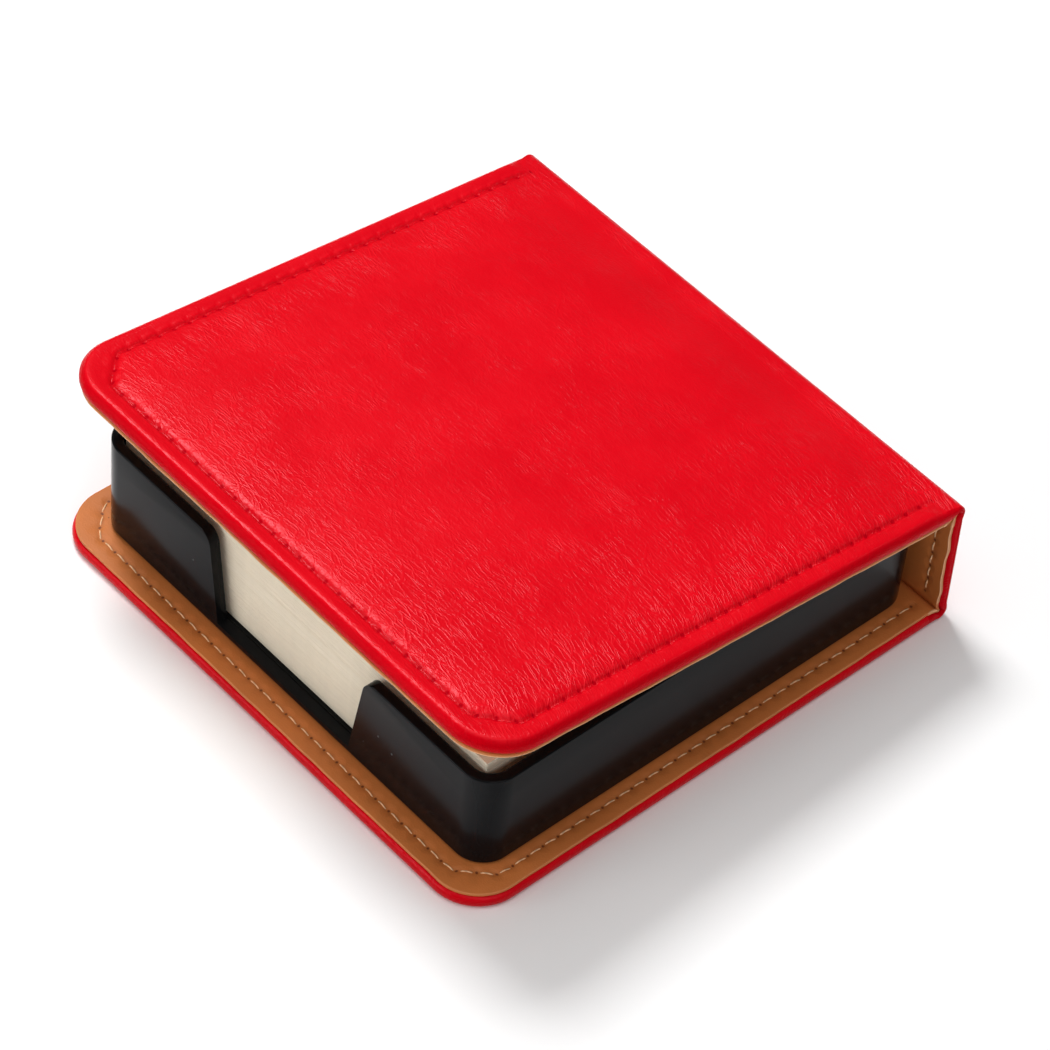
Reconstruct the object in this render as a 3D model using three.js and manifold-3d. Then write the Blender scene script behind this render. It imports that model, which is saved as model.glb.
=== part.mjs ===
// Leather note holder: a book-style cover of red leather over boards, lined in tan,
// that folds over a black plastic tray with a block of loose note sheets.
// Millimetres. +Z up, the tray's finger notch faces -Y, the spine stands at +Y.
// The origin is on the desk, under the middle of the closed base.

import * as THREE from 'three';
import { mergeVertices } from 'three/addons/utils/BufferGeometryUtils.js';
import Module from 'manifold-3d';

const wasm = await Module();
wasm.setup();

// Driving dimensions: the note sheets
const NOTE_SIDE = 90;
const NOTE_PILE = 20.35;
const NOTE_FORWARD = 0.6;

// Driving dimensions: the tray
const NOTE_PLAY = 1.6;
const TRAY_WALL = 2;
const TRAY_FLOOR = 1.4;
const TRAY_HEIGHT = 20.5;
const TRAY_CORNER = 5.6;
const TRAY_DRAFT = 0.1;
const TRAY_FLOOR_FILLET = 0.5;
const TRAY_RIM_ROUND = 0.4;
const TRAY_FOOT_ROUND = 0.7;
const TRAY_FOOT = 0.5;
const TRAY_FOOT_WIDTH = 5;
const NOTCH_WIDTH = 33.2;
const NOTCH_FLARE = 2.9;
const NOTCH_SILL = 1.55;
const NOTCH_ROUND = 3;
const PAD_MARGIN = 1.5;

// Driving dimensions: the cover's layers, from the outside in
const LEATHER = 0.5;
const BOARD = 1.2;
const SPINE_BOARD = 0.8;
const LINING = 0.7;
const GLUE_LINE = 0.1;

// Driving dimensions: the cover's plan and the creases
const SIDE_MARGIN = 5.15;
const FRONT_MARGIN = 5.9;
const SPINE_GAP = 1.2;
const LID_HEADROOM = 4.1;
const SPINE_LEAN_DEGREES = 2;
const LID_SHORTFALL = 0.9;
const CREASE_RADIUS = 2;
const BASE_CORNER = 9;
const LID_CORNER = 10;
const EDGE_ROUND = 1.05;
const TURN_IN = 12;
const LINING_INSET = 0.5;
const CREASE_CLEARANCE = 2.2;
const BOARD_SETBACK = 4;
const BOARD_FIT = 0.3;
const FIELD_STEP = 1.2;
const LINING_SETBACK = 2.6;
const CREASE_JOIN = 0.15;
const CREASE_PINCH = 0.5;
const CREASE_TUCK = 0.4;
const LID_REST_GAP = 0.12;
const LEAST_CORNER = 3;

// Driving dimensions: the padded lid
const CROWN = 1.2;
const CROWN_REACH = 30;
const SWELL_START = 1;
const SWELL_FADE = 8;
const BEAD_HEIGHT = 0.3;
const STITCH_INSET = 4;
const CHANNEL_WIDTH = 1.2;
const CHANNEL_DEPTH = 0.3;

// Cuts run past the faces they open by this much
const OVERRUN = 1;

// Where rings and stations lie, as shares of a width or a reach
const MIDDLE_SHARE = 0.4;
const SWELL_SHARES = [0, 0.25, 0.5, 1];
const CROWN_SHARES = [0.08, 0.22, 0.5, 1];
const FOLD_SHARES = [[1, 1], [0.8, 1], [0.6, 0.9], [0.4, 0.65]];
const PINCH_SHARES = [0, 0, 0.3, 0.7, 1, 0.7, 0.3, 0, 0];

// Counts of flat steps along round stretches
const CORNER_STEPS = 9;
const EDGE_STEPS = 4;
const CREASE_STEPS = 10;
const NOTCH_STEPS = 8;

// Worked out: heights above the desk
const WRAP = 2 * LEATHER + BOARD + 2 * GLUE_LINE;
const PANEL = WRAP + GLUE_LINE + LINING;
const SPINE_WRAP = 2 * LEATHER + SPINE_BOARD + 2 * GLUE_LINE;
const SPINE_PANEL = SPINE_WRAP + GLUE_LINE + LINING;
const TRAY_BOTTOM = PANEL + GLUE_LINE;
const TRAY_RIM = TRAY_BOTTOM + TRAY_HEIGHT;
const NOTE_BOTTOM = TRAY_BOTTOM + TRAY_FLOOR + GLUE_LINE;
const NOTE_TOP = NOTE_BOTTOM + NOTE_PILE;
const SPINE_HEIGHT = TRAY_RIM + LID_HEADROOM;

// Worked out: the plan
const TRAY_SIDE = NOTE_SIDE + 2 * NOTE_PLAY + 2 * TRAY_WALL;
const COVER_WIDTH = TRAY_SIDE + 2 * SIDE_MARGIN;
const COVER_DEPTH = FRONT_MARGIN + TRAY_SIDE + SPINE_GAP + SPINE_PANEL;
const COVER_FRONT = -COVER_DEPTH / 2;
const SPINE_FACE = COVER_DEPTH / 2;
const TRAY_MIDDLE = COVER_FRONT + FRONT_MARGIN + TRAY_SIDE / 2;
const PANEL_LENGTH = COVER_DEPTH - CREASE_RADIUS;

// Worked out: the centre lines of both creases as (across, up). The spine leans towards
// the tray at its top.
const SPINE_LEAN = THREE.MathUtils.degToRad(SPINE_LEAN_DEGREES);
const SPINE_RUN = SPINE_HEIGHT - 2 * CREASE_RADIUS;
const LOWER_CREASE = new THREE.Vector2(SPINE_FACE - CREASE_RADIUS, CREASE_RADIUS);
const SPINE_WAY = new THREE.Vector2(-Math.sin(SPINE_LEAN), Math.cos(SPINE_LEAN));
const UPPER_CREASE = LOWER_CREASE.clone().addScaledVector(SPINE_WAY, SPINE_RUN);

// Worked out: the closed lid leans on the back edge of the note sheets. Seen from the
// side, the lid's underside is a line that turns about the upper crease, and this is the
// turn that brings it to that edge, or level where the pile is low.
function lidLean() {
  const across = UPPER_CREASE.x - (TRAY_MIDDLE - NOTE_FORWARD + NOTE_SIDE / 2);
  const rise = NOTE_TOP - UPPER_CREASE.y;
  const drop = PANEL - CREASE_RADIUS + LID_REST_GAP;
  const reach = Math.hypot(across, rise);
  const lean = Math.atan2(rise, across) + Math.asin(Math.min(1, drop / reach));
  return Math.max(0, lean);
}
const LID_LEAN = lidLean();

// Closed solids and their joins and cuts

function toSolid(geometry) {
  const bare = geometry.clone();
  bare.deleteAttribute('normal');
  bare.deleteAttribute('uv');
  const merged = mergeVertices(bare);
  return new wasm.Manifold(new wasm.Mesh({
    numProp: 3,
    vertProperties: new Float32Array(merged.attributes.position.array),
    triVerts: new Uint32Array(merged.index.array),
  }));
}

function toGeometry(solid) {
  const mesh = solid.getMesh();
  const geometry = new THREE.BufferGeometry();
  geometry.setAttribute('position', new THREE.BufferAttribute(mesh.vertProperties, 3));
  geometry.setIndex(new THREE.BufferAttribute(mesh.triVerts, 1));
  geometry.computeVertexNormals();
  return geometry;
}

function block(low, high) {
  const size = [0, 1, 2].map((i) => high[i] - low[i]);
  const geometry = new THREE.BoxGeometry(...size);
  geometry.translate(...[0, 1, 2].map((i) => (low[i] + high[i]) / 2));
  return toSolid(geometry);
}

// A flat outline of (across, up) points, drawn out evenly along X about the middle
function alongX(points, length, middle = 0) {
  const shape = new THREE.Shape(points.map(([y, z]) => new THREE.Vector2(y, z)));
  const geometry = new THREE.ExtrudeGeometry(shape, { depth: length, bevelEnabled: false });
  geometry.translate(0, 0, -length / 2);
  geometry.applyMatrix4(new THREE.Matrix4().makeBasis(
    new THREE.Vector3(0, 1, 0), new THREE.Vector3(0, 0, 1), new THREE.Vector3(1, 0, 0)));
  geometry.translate(middle, 0, 0);
  return toSolid(geometry);
}

// A flat outline of (x, y) points, drawn up from one height to another
function upward(points, low, high) {
  const shape = new THREE.Shape(points.map(([x, y]) => new THREE.Vector2(x, y)));
  const geometry = new THREE.ExtrudeGeometry(shape, { depth: high - low, bevelEnabled: false });
  geometry.translate(0, 0, low);
  return toSolid(geometry);
}

function arc(x, y, radius, from, to, steps) {
  return Array.from({ length: steps + 1 }, (_, i) => {
    const angle = from + (to - from) * i / steps;
    return [x + radius * Math.cos(angle), y + radius * Math.sin(angle)];
  });
}

function smooth(share) {
  const t = Math.min(1, Math.max(0, share));
  return t * t * (3 - 2 * t);
}

// Towards the crease a padded form sinks back to the flat cover
function swellShare(y) {
  return smooth((-y - SWELL_START) / SWELL_FADE);
}

// Half of a rounded rectangle, moved in by an inset: from its back edge round the left
// side to its front edge
function halfRing(plan, inset) {
  const { width, front, back, corner, stops } = plan;
  const radius = Math.max(corner - inset, LEAST_CORNER);
  const left = -width / 2 + inset;
  const near = front + inset;
  const far = back - inset;
  return [
    ...arc(left + radius, far - radius, radius, Math.PI / 2, Math.PI, CORNER_STEPS),
    ...stops.map((y) => [left, y]),
    ...arc(left + radius, near + radius, radius, Math.PI, 1.5 * Math.PI, CORNER_STEPS),
  ];
}

// A solid skinned over rings of one plan. Each ring is an inset, a level and a swell that
// fades along Y, from the middle of the underside out round the edge and in again to the
// middle of the top.
function ringSolid(plan, rings) {
  const halves = rings.map(([inset]) => halfRing(plan, inset));
  const half = halves[0].length;
  const count = 2 * half;
  const positions = [];
  halves.forEach((points, k) => {
    const [, level, swell = 0] = rings[k];
    const whole = [...points, ...points.map(([x, y]) => [-x, y]).reverse()];
    whole.forEach(([x, y]) => positions.push(x, y, level + swell * swellShare(y)));
  });
  const index = [];
  const quad = (a, b, c, d) => index.push(a, b, c, a, c, d);
  for (let k = 0; k < rings.length - 1; k += 1) {
    for (let i = 0; i < count; i += 1) {
      const j = (i + 1) % count;
      quad(k * count + i, k * count + j, (k + 1) * count + j, (k + 1) * count + i);
    }
  }
  const top = (rings.length - 1) * count;
  for (let i = 0; i < half - 1; i += 1) {
    const j = count - 1 - i;
    quad(i, j, j - 1, i + 1);
    quad(top + i, top + i + 1, top + j - 1, top + j);
  }
  const geometry = new THREE.BufferGeometry();
  geometry.setAttribute('position', new THREE.Float32BufferAttribute(positions, 3));
  geometry.setIndex(index);
  return toSolid(geometry);
}

// Cover panels. A panel is made with its outer face up at height zero, its crease end at
// y = 0 and its front edge at -PANEL_LENGTH, so the lid and the base share one form.

const RUN_PAST = PANEL_LENGTH / 2;
const MIDDLE_INSET = MIDDLE_SHARE * COVER_WIDTH;
const BASE_PANEL = { corner: BASE_CORNER, length: PANEL_LENGTH, padded: false };
const LID_PANEL = { corner: LID_CORNER, length: PANEL_LENGTH - LID_SHORTFALL, padded: true };

function panelPlan({ corner, length }) {
  return {
    width: COVER_WIDTH,
    front: -length,
    back: RUN_PAST,
    corner,
    stops: [OVERRUN, ...SWELL_SHARES.map((share) => -SWELL_START - share * SWELL_FADE)],
  };
}

function beforeCrease(end) {
  return block(
    [-COVER_WIDTH, -2 * PANEL_LENGTH, -2 * WRAP - OVERRUN - CROWN],
    [COVER_WIDTH, end, 2 * WRAP + OVERRUN + CROWN]);
}

// The rounded edge where the leather goes round the board, as rings
function edgeRings(inset, low, high, round) {
  const lower = arc(round, low + round, round, -Math.PI / 2, -Math.PI, EDGE_STEPS);
  const upper = arc(round, high - round, round, Math.PI, Math.PI / 2, EDGE_STEPS);
  return [...lower, ...upper].map(([x, z]) => [x + inset, z]);
}

// How high the padded top stands at an inset from the edge, inside the stitch line
function crownHeight(inset) {
  const start = STITCH_INSET;
  return CROWN * Math.sqrt(smooth((inset - start) / (CROWN_REACH - start)));
}

const CROWN_INSETS = CROWN_SHARES.map(
  (share) => STITCH_INSET + CHANNEL_WIDTH / 2 + share * (CROWN_REACH - STITCH_INSET));

function panelLeather(panel) {
  const { padded } = panel;
  const plan = panelPlan(panel);
  const edge = edgeRings(0, -WRAP, 0, EDGE_ROUND);
  const skinned = edgeRings(LEATHER, LEATHER - WRAP, -LEATHER, EDGE_ROUND - LEATHER);
  const flatTop = [[MIDDLE_INSET, 0]];
  const flatCeiling = [[MIDDLE_INSET, -LEATHER]];
  const bead = (STITCH_INSET - CHANNEL_WIDTH / 2 + EDGE_ROUND) / 2;
  const crown = CROWN_INSETS.map((inset) => [inset, crownHeight(inset)]);
  const paddedTop = [
    [bead, 0, BEAD_HEIGHT],
    [STITCH_INSET - CHANNEL_WIDTH / 2, 0],
    [STITCH_INSET, 0, -CHANNEL_DEPTH],
    ...crown.map(([inset, height]) => [inset, 0, height]),
    [MIDDLE_INSET, 0, CROWN],
  ];
  const paddedCeiling = [
    [STITCH_INSET - CHANNEL_WIDTH / 2, -LEATHER, -CHANNEL_DEPTH],
    [STITCH_INSET + CHANNEL_WIDTH / 2, -LEATHER, -CHANNEL_DEPTH],
    ...crown.map(([inset, height]) => [inset, -LEATHER, height]),
    [MIDDLE_INSET, -LEATHER, CROWN],
  ];
  const outer = ringSolid(plan, [[MIDDLE_INSET, -WRAP], ...edge,
    ...(padded ? paddedTop : flatTop)]);
  const inner = ringSolid(plan, [[MIDDLE_INSET, LEATHER - WRAP], ...skinned,
    ...(padded ? paddedCeiling : flatCeiling)]);
  const opening = ringSolid(plan, [
    [MIDDLE_INSET, -WRAP - OVERRUN],
    [TURN_IN, -WRAP - OVERRUN],
    [TURN_IN, -WRAP + LEATHER + GLUE_LINE],
    [MIDDLE_INSET, -WRAP + LEATHER + GLUE_LINE]]);
  const foldRoom = block(
    [-COVER_WIDTH, -CREASE_CLEARANCE, -WRAP - OVERRUN],
    [COVER_WIDTH, OVERRUN, -WRAP / 2]);
  return outer.subtract(inner).subtract(opening).subtract(foldRoom)
    .intersect(beforeCrease(0));
}

// The board fills the cover, and its middle rises between the turned-in strips
function panelBoard(panel) {
  const plan = panelPlan(panel);
  const top = -LEATHER - GLUE_LINE;
  const under = top - BOARD;
  const side = LEATHER + BOARD_FIT;
  const slab = ringSolid(plan, [
    [MIDDLE_INSET, under],
    [side + BOARD_FIT, under],
    [side, under + BOARD_FIT],
    [side, top - BOARD_FIT],
    [side + BOARD_FIT, top],
    [MIDDLE_INSET, top]]);
  const field = ringSolid(plan, [
    [MIDDLE_INSET, -WRAP],
    [TURN_IN + BOARD_FIT, -WRAP],
    [TURN_IN + BOARD_FIT, under + GLUE_LINE],
    [MIDDLE_INSET, under + GLUE_LINE]]);
  return slab.add(field).intersect(beforeCrease(-BOARD_SETBACK));
}

// The lid's board stays below the sewn channel
function lidBoard() {
  const clearance = LEATHER + CHANNEL_DEPTH + GLUE_LINE;
  const raisedField = STITCH_INSET + CHANNEL_WIDTH / 2 + FIELD_STEP;
  const trough = ringSolid(panelPlan(LID_PANEL), [
    [MIDDLE_INSET, -clearance],
    [-OVERRUN, -clearance],
    [-OVERRUN, OVERRUN],
    [MIDDLE_INSET, OVERRUN]]);
  const kept = ringSolid(panelPlan(LID_PANEL), [
    [MIDDLE_INSET, -clearance - OVERRUN],
    [raisedField, -clearance - OVERRUN],
    [raisedField, 2 * OVERRUN],
    [MIDDLE_INSET, 2 * OVERRUN]]);
  return panelBoard(LID_PANEL).subtract(trough.subtract(kept));
}

function panelLining(panel) {
  const bottom = -WRAP - GLUE_LINE - LINING;
  return ringSolid(panelPlan(panel), [
    [MIDDLE_INSET, bottom],
    [LINING_INSET, bottom],
    [LINING_INSET, bottom + LINING],
    [MIDDLE_INSET, bottom + LINING]]).intersect(beforeCrease(-LINING_SETBACK));
}

function lidPadding() {
  const bottom = -LEATHER;
  const start = CROWN_INSETS[0];
  const insets = CROWN_INSETS.slice(1);
  const under = (inset) => crownHeight(inset) - LEATHER - GLUE_LINE;
  return ringSolid(panelPlan(LID_PANEL), [
    [MIDDLE_INSET, bottom],
    [start, bottom],
    [start, under(start)],
    ...insets.map((inset) => [inset, under(inset)]),
    [MIDDLE_INSET, CROWN - LEATHER - GLUE_LINE]])
    .intersect(beforeCrease(-SWELL_START - SWELL_FADE));
}

// The base is the same panel turned over, so its leather lies on the desk
function turnedOver(solid) {
  const geometry = toGeometry(solid);
  geometry.rotateY(Math.PI);
  geometry.computeVertexNormals();
  return geometry;
}

// Spine: leather, board and lining as outlines in plan, drawn up between the creases.
// They stand on the lower crease's centre line, with the outer face one crease radius
// behind it.

function spineLeather() {
  const end = COVER_WIDTH / 2;
  const inside = CREASE_RADIUS - SPINE_WRAP;
  const round = SPINE_WRAP / 2;
  const hollow = round - LEATHER;
  const mid = CREASE_RADIUS - round;
  const bead = arc(end - round, mid, round, Math.PI / 2, -Math.PI / 2, 2 * EDGE_STEPS);
  const fold = arc(end - round, mid, hollow, -Math.PI / 2, Math.PI / 2, 2 * EDGE_STEPS);
  const right = [
    ...bead,
    [end - TURN_IN, inside],
    [end - TURN_IN, inside + LEATHER],
    ...fold,
  ];
  const left = right.map(([x, y]) => [-x, y]).reverse();
  const foldRoom = (low, high) => block(
    [-COVER_WIDTH, inside - OVERRUN, low],
    [COVER_WIDTH, mid, high]);
  return upward([...right, ...left], 0, SPINE_RUN)
    .subtract(foldRoom(-OVERRUN, CREASE_CLEARANCE))
    .subtract(foldRoom(SPINE_RUN - CREASE_CLEARANCE, SPINE_RUN + OVERRUN));
}

function spineBoard() {
  const end = COVER_WIDTH / 2 - LEATHER - 2 * BOARD_FIT;
  const field = COVER_WIDTH / 2 - TURN_IN - BOARD_FIT;
  const back = CREASE_RADIUS - LEATHER - GLUE_LINE;
  const front = back - SPINE_BOARD;
  const raised = CREASE_RADIUS - SPINE_WRAP;
  const right = [[end - BOARD_FIT, back], [end, back - BOARD_FIT], [end, front + BOARD_FIT],
    [end - BOARD_FIT, front], [field, front], [field, raised]];
  const left = right.map(([x, y]) => [-x, y]).reverse();
  return upward([...right, ...left], BOARD_SETBACK, SPINE_RUN - BOARD_SETBACK);
}

function spineLining() {
  const end = COVER_WIDTH / 2 - LINING_INSET;
  const back = CREASE_RADIUS - SPINE_WRAP - GLUE_LINE;
  return block(
    [-end, back - LINING, LINING_SETBACK],
    [end, back, SPINE_RUN - LINING_SETBACK]);
}

// Creases: each is made about its own centre line, between a panel and the spine. The
// panel leaves the crease along one direction and the spine along the other; the outer
// faces are one crease radius from the centre.

function creaseFrame(panelAngle, spineAngle) {
  const way = (angle) => new THREE.Vector2(Math.cos(angle), Math.sin(angle));
  const side = Math.sign(panelAngle - spineAngle);
  return {
    panelOut: way(panelAngle),
    panel: way(panelAngle + side * Math.PI / 2),
    spineOut: way(spineAngle),
    spine: way(spineAngle - side * Math.PI / 2),
    from: spineAngle,
    sweep: panelAngle - spineAngle,
  };
}

// A band's outline along a path of points with a half thickness at each: mitred on the
// hollow side of every bend, and blunt on the outside of its sharpest one
function bandOutline(path, halves, sharpest) {
  const left = [];
  const right = [];
  path.forEach((point, i) => {
    const into = point.clone().sub(path[Math.max(i - 1, 0)]).normalize();
    const from = path[Math.min(i + 1, path.length - 1)].clone().sub(point).normalize();
    const before = i > 0 ? into : from;
    const after = i < path.length - 1 ? from : into;
    const across = [before, after].map((d) => new THREE.Vector2(-d.y, d.x));
    const mitre = across[0].clone().add(across[1]).normalize();
    mitre.multiplyScalar(halves[i] / mitre.dot(across[0]));
    const turnsLeft = before.cross(after) > 0;
    const blunt = (sign) => across.map((d) => point.clone().addScaledVector(d, sign * halves[i]));
    const sharp = i === sharpest;
    left.push(...(sharp && !turnsLeft ? blunt(1) : [point.clone().add(mitre)]));
    right.push(...(sharp && turnsLeft ? blunt(-1) : [point.clone().sub(mitre)]));
  });
  return [...left, ...right.reverse()].map((point) => [point.x, point.y]);
}

// The lining runs off the panel, is pinched out to the fold and runs up the spine
function creaseLining(frame) {
  const panelDepth = PANEL - LINING / 2 - CREASE_RADIUS;
  const spineDepth = SPINE_PANEL - LINING / 2 - CREASE_RADIUS;
  const reach = LINING_SETBACK - CREASE_JOIN;
  const at = (along, out, depth) => ([runShare, depthShare]) => along.clone()
    .multiplyScalar(runShare * reach)
    .addScaledVector(out, -depthShare * depth);
  const fold = frame.panelOut.clone().add(frame.spineOut).normalize();
  const path = [
    ...FOLD_SHARES.map(at(frame.panel, frame.panelOut, panelDepth)),
    fold.multiplyScalar(CREASE_TUCK),
    ...FOLD_SHARES.map(at(frame.spine, frame.spineOut, spineDepth)).reverse(),
  ];
  const halves = PINCH_SHARES.map((share) => (LINING - share * (LINING - CREASE_PINCH)) / 2);
  const outline = bandOutline(path, halves, FOLD_SHARES.length);
  return alongX(outline, COVER_WIDTH - 2 * LINING_INSET);
}

// The outer skin with both ends turned in: a flat outline of (x, radius) points swept
// about the crease's centre line
function creaseLeather(frame) {
  const end = COVER_WIDTH / 2 - BOARD_FIT;
  const fold = arc(end - LEATHER, CREASE_RADIUS - LEATHER, LEATHER,
    -Math.PI / 2, Math.PI / 2, 2 * EDGE_STEPS);
  const right = [
    [end - TURN_IN, CREASE_RADIUS - LEATHER],
    [end - TURN_IN, CREASE_RADIUS - 2 * LEATHER],
    ...fold,
  ];
  const outline = [...right, ...right.map(([x, r]) => [-x, r]).reverse()];
  const turn = (step) => frame.from + frame.sweep * step / CREASE_STEPS;
  const positions = [];
  for (let step = 0; step <= CREASE_STEPS; step += 1) {
    outline.forEach(([x, r]) => {
      positions.push(x, r * Math.cos(turn(step)), r * Math.sin(turn(step)));
    });
  }
  const count = outline.length;
  const last = CREASE_STEPS * count;
  const faces = [];
  const face = (i, j, k) => faces.push(frame.sweep < 0 ? [i, j, k] : [i, k, j]);
  for (let step = 0; step < CREASE_STEPS; step += 1) {
    for (let i = 0; i < count; i += 1) {
      const j = (i + 1) % count;
      face(step * count + i, (step + 1) * count + j, step * count + j);
      face(step * count + i, (step + 1) * count + i, (step + 1) * count + j);
    }
  }
  const flat = outline.map(([x, r]) => new THREE.Vector2(x, r));
  THREE.ShapeUtils.triangulateShape(flat, []).forEach(([i, j, k]) => {
    face(i, j, k);
    face(last + i, last + k, last + j);
  });
  const geometry = new THREE.BufferGeometry();
  geometry.setAttribute('position', new THREE.Float32BufferAttribute(positions, 3));
  geometry.setIndex(faces.flat());
  return toSolid(geometry);
}

// Tray: one moulding, skinned over rings from the underside round the rim to the floor

function trayPlan() {
  return {
    width: TRAY_SIDE,
    front: -TRAY_SIDE / 2,
    back: TRAY_SIDE / 2,
    corner: TRAY_CORNER,
    stops: [0],
  };
}

function notchOutline() {
  const low = NOTCH_SILL;
  const rim = TRAY_HEIGHT;
  const half = NOTCH_WIDTH / 2;
  const slope = Math.atan2(NOTCH_FLARE, rim - low);
  // The shoulder arc meets the flared side and the rim line
  const fromCorner = NOTCH_ROUND * Math.tan((Math.PI / 2 - slope) / 2);
  const centre = half + NOTCH_FLARE + fromCorner;
  const shoulder = arc(centre, rim - NOTCH_ROUND, NOTCH_ROUND,
    Math.PI - slope, Math.PI / 2, NOTCH_STEPS);
  const right = [[half, low], ...shoulder, [centre, rim + OVERRUN]];
  return [...right, ...right.map(([x, z]) => [-x, z]).reverse()];
}

function trayNotch() {
  const depth = TRAY_WALL + TRAY_FLOOR_FILLET + 2 * OVERRUN;
  const shape = new THREE.Shape(notchOutline().map(([x, z]) => new THREE.Vector2(x, z)));
  const geometry = new THREE.ExtrudeGeometry(shape, { depth, bevelEnabled: false });
  geometry.rotateX(Math.PI / 2);
  geometry.translate(0, -TRAY_SIDE / 2 - OVERRUN + depth, 0);
  return toSolid(geometry);
}

function tray() {
  const middle = MIDDLE_SHARE * TRAY_SIDE;
  const rimSide = (inset, from, to) => arc(inset, TRAY_HEIGHT - TRAY_RIM_ROUND,
    TRAY_RIM_ROUND, from, to, EDGE_STEPS);
  const outerRim = rimSide(TRAY_RIM_ROUND - TRAY_DRAFT, Math.PI, Math.PI / 2);
  const innerRim = rimSide(TRAY_WALL - TRAY_RIM_ROUND - TRAY_DRAFT, Math.PI / 2, 0);
  const foot = arc(TRAY_FOOT_ROUND, TRAY_FOOT_ROUND, TRAY_FOOT_ROUND,
    -Math.PI / 2, -Math.PI, EDGE_STEPS);
  const fillet = arc(TRAY_WALL + TRAY_FLOOR_FILLET, TRAY_FLOOR + TRAY_FLOOR_FILLET,
    TRAY_FLOOR_FILLET, Math.PI, 1.5 * Math.PI, EDGE_STEPS);
  const rings = [
    [middle, TRAY_FOOT],
    [TRAY_FOOT_WIDTH, TRAY_FOOT],
    [TRAY_FOOT_WIDTH, 0],
    ...foot,
    ...outerRim,
    ...innerRim,
    ...fillet,
    [middle, TRAY_FLOOR],
  ];
  return ringSolid(trayPlan(), rings).subtract(trayNotch());
}

function adhesivePad() {
  const half = TRAY_SIDE / 2 - TRAY_FOOT_WIDTH - PAD_MARGIN;
  return block(
    [-half, -half, 0],
    [half, half, TRAY_FOOT - GLUE_LINE]);
}

function notePile() {
  return block(
    [-NOTE_SIDE / 2, -NOTE_SIDE / 2, 0],
    [NOTE_SIDE / 2, NOTE_SIDE / 2, NOTE_PILE]);
}

// Materials

const RED_LEATHER = { color: 0xd4071c, roughness: 0.5, metalness: 0 };
const TAN_LINING = { color: 0xa9683a, roughness: 0.65, metalness: 0 };
const GREY_BOARD = { color: 0x8c857b, roughness: 0.9, metalness: 0 };
const PADDING = { color: 0xe9e4d8, roughness: 0.95, metalness: 0 };
const BLACK_PLASTIC = { color: 0x191a1c, roughness: 0.18, metalness: 0 };
const ADHESIVE = { color: 0xf2efe6, roughness: 0.6, metalness: 0 };
const CREAM_PAPER = { color: 0xe4dcc4, roughness: 0.85, metalness: 0 };

function piece(name, body, finish) {
  const geometry = body.isBufferGeometry ? body : toGeometry(body);
  const mesh = new THREE.Mesh(geometry, new THREE.MeshStandardMaterial(finish));
  mesh.name = name;
  return mesh;
}

// Assembly

const base = new THREE.Group();
base.position.set(0, LOWER_CREASE.x, 0);
base.add(
  piece('base_leather', turnedOver(panelLeather(BASE_PANEL)), RED_LEATHER),
  piece('base_board', turnedOver(panelBoard(BASE_PANEL)), GREY_BOARD),
  piece('base_lining', turnedOver(panelLining(BASE_PANEL)), TAN_LINING),
);

const lowerCrease = new THREE.Group();
lowerCrease.position.set(0, LOWER_CREASE.x, LOWER_CREASE.y);
const lowerFrame = creaseFrame(-Math.PI / 2, SPINE_LEAN);
lowerCrease.add(
  piece('lower_crease_leather', creaseLeather(lowerFrame), RED_LEATHER),
  piece('lower_crease_lining', creaseLining(lowerFrame), TAN_LINING),
);

const spine = new THREE.Group();
spine.position.copy(lowerCrease.position);
spine.rotation.x = SPINE_LEAN;
spine.add(
  piece('spine_leather', spineLeather(), RED_LEATHER),
  piece('spine_board', spineBoard(), GREY_BOARD),
  piece('spine_lining', spineLining(), TAN_LINING),
);

const upperCrease = new THREE.Group();
upperCrease.position.set(0, UPPER_CREASE.x, UPPER_CREASE.y);
const upperFrame = creaseFrame(Math.PI / 2 - LID_LEAN, SPINE_LEAN);
upperCrease.add(
  piece('upper_crease_leather', creaseLeather(upperFrame), RED_LEATHER),
  piece('upper_crease_lining', creaseLining(upperFrame), TAN_LINING),
);

// The lid turns about the upper crease's centre line, and its outer face is one crease
// radius above it
const lid = new THREE.Group();
lid.position.copy(upperCrease.position);
lid.rotation.x = -LID_LEAN;
const lidPanel = new THREE.Group();
lidPanel.position.z = CREASE_RADIUS;
lidPanel.add(
  piece('lid_leather', panelLeather(LID_PANEL), RED_LEATHER),
  piece('lid_padding', lidPadding(), PADDING),
  piece('lid_board', lidBoard(), GREY_BOARD),
  piece('lid_lining', panelLining(LID_PANEL), TAN_LINING),
);
lid.add(lidPanel);

const trayGroup = new THREE.Group();
trayGroup.position.set(0, TRAY_MIDDLE, TRAY_BOTTOM);
const notes = piece('note_pile', notePile(), CREAM_PAPER);
notes.position.set(0, -NOTE_FORWARD, NOTE_BOTTOM - TRAY_BOTTOM);
trayGroup.add(
  piece('tray', tray(), BLACK_PLASTIC),
  piece('tray_adhesive_pad', adhesivePad(), ADHESIVE),
  notes,
);

const noteHolder = new THREE.Group();
noteHolder.name = 'note_holder';
noteHolder.add(base, lowerCrease, spine, upperCrease, lid, trayGroup);

export default noteHolder;
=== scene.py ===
import itertools
import math
from collections import namedtuple
from functools import partial

import bmesh
import bpy
import numpy as np
from bpy.props import FloatProperty, FloatVectorProperty, IntProperty, PointerProperty
from bpy.types import Operator, Panel, PropertyGroup
from mathutils import Matrix, Vector


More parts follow.
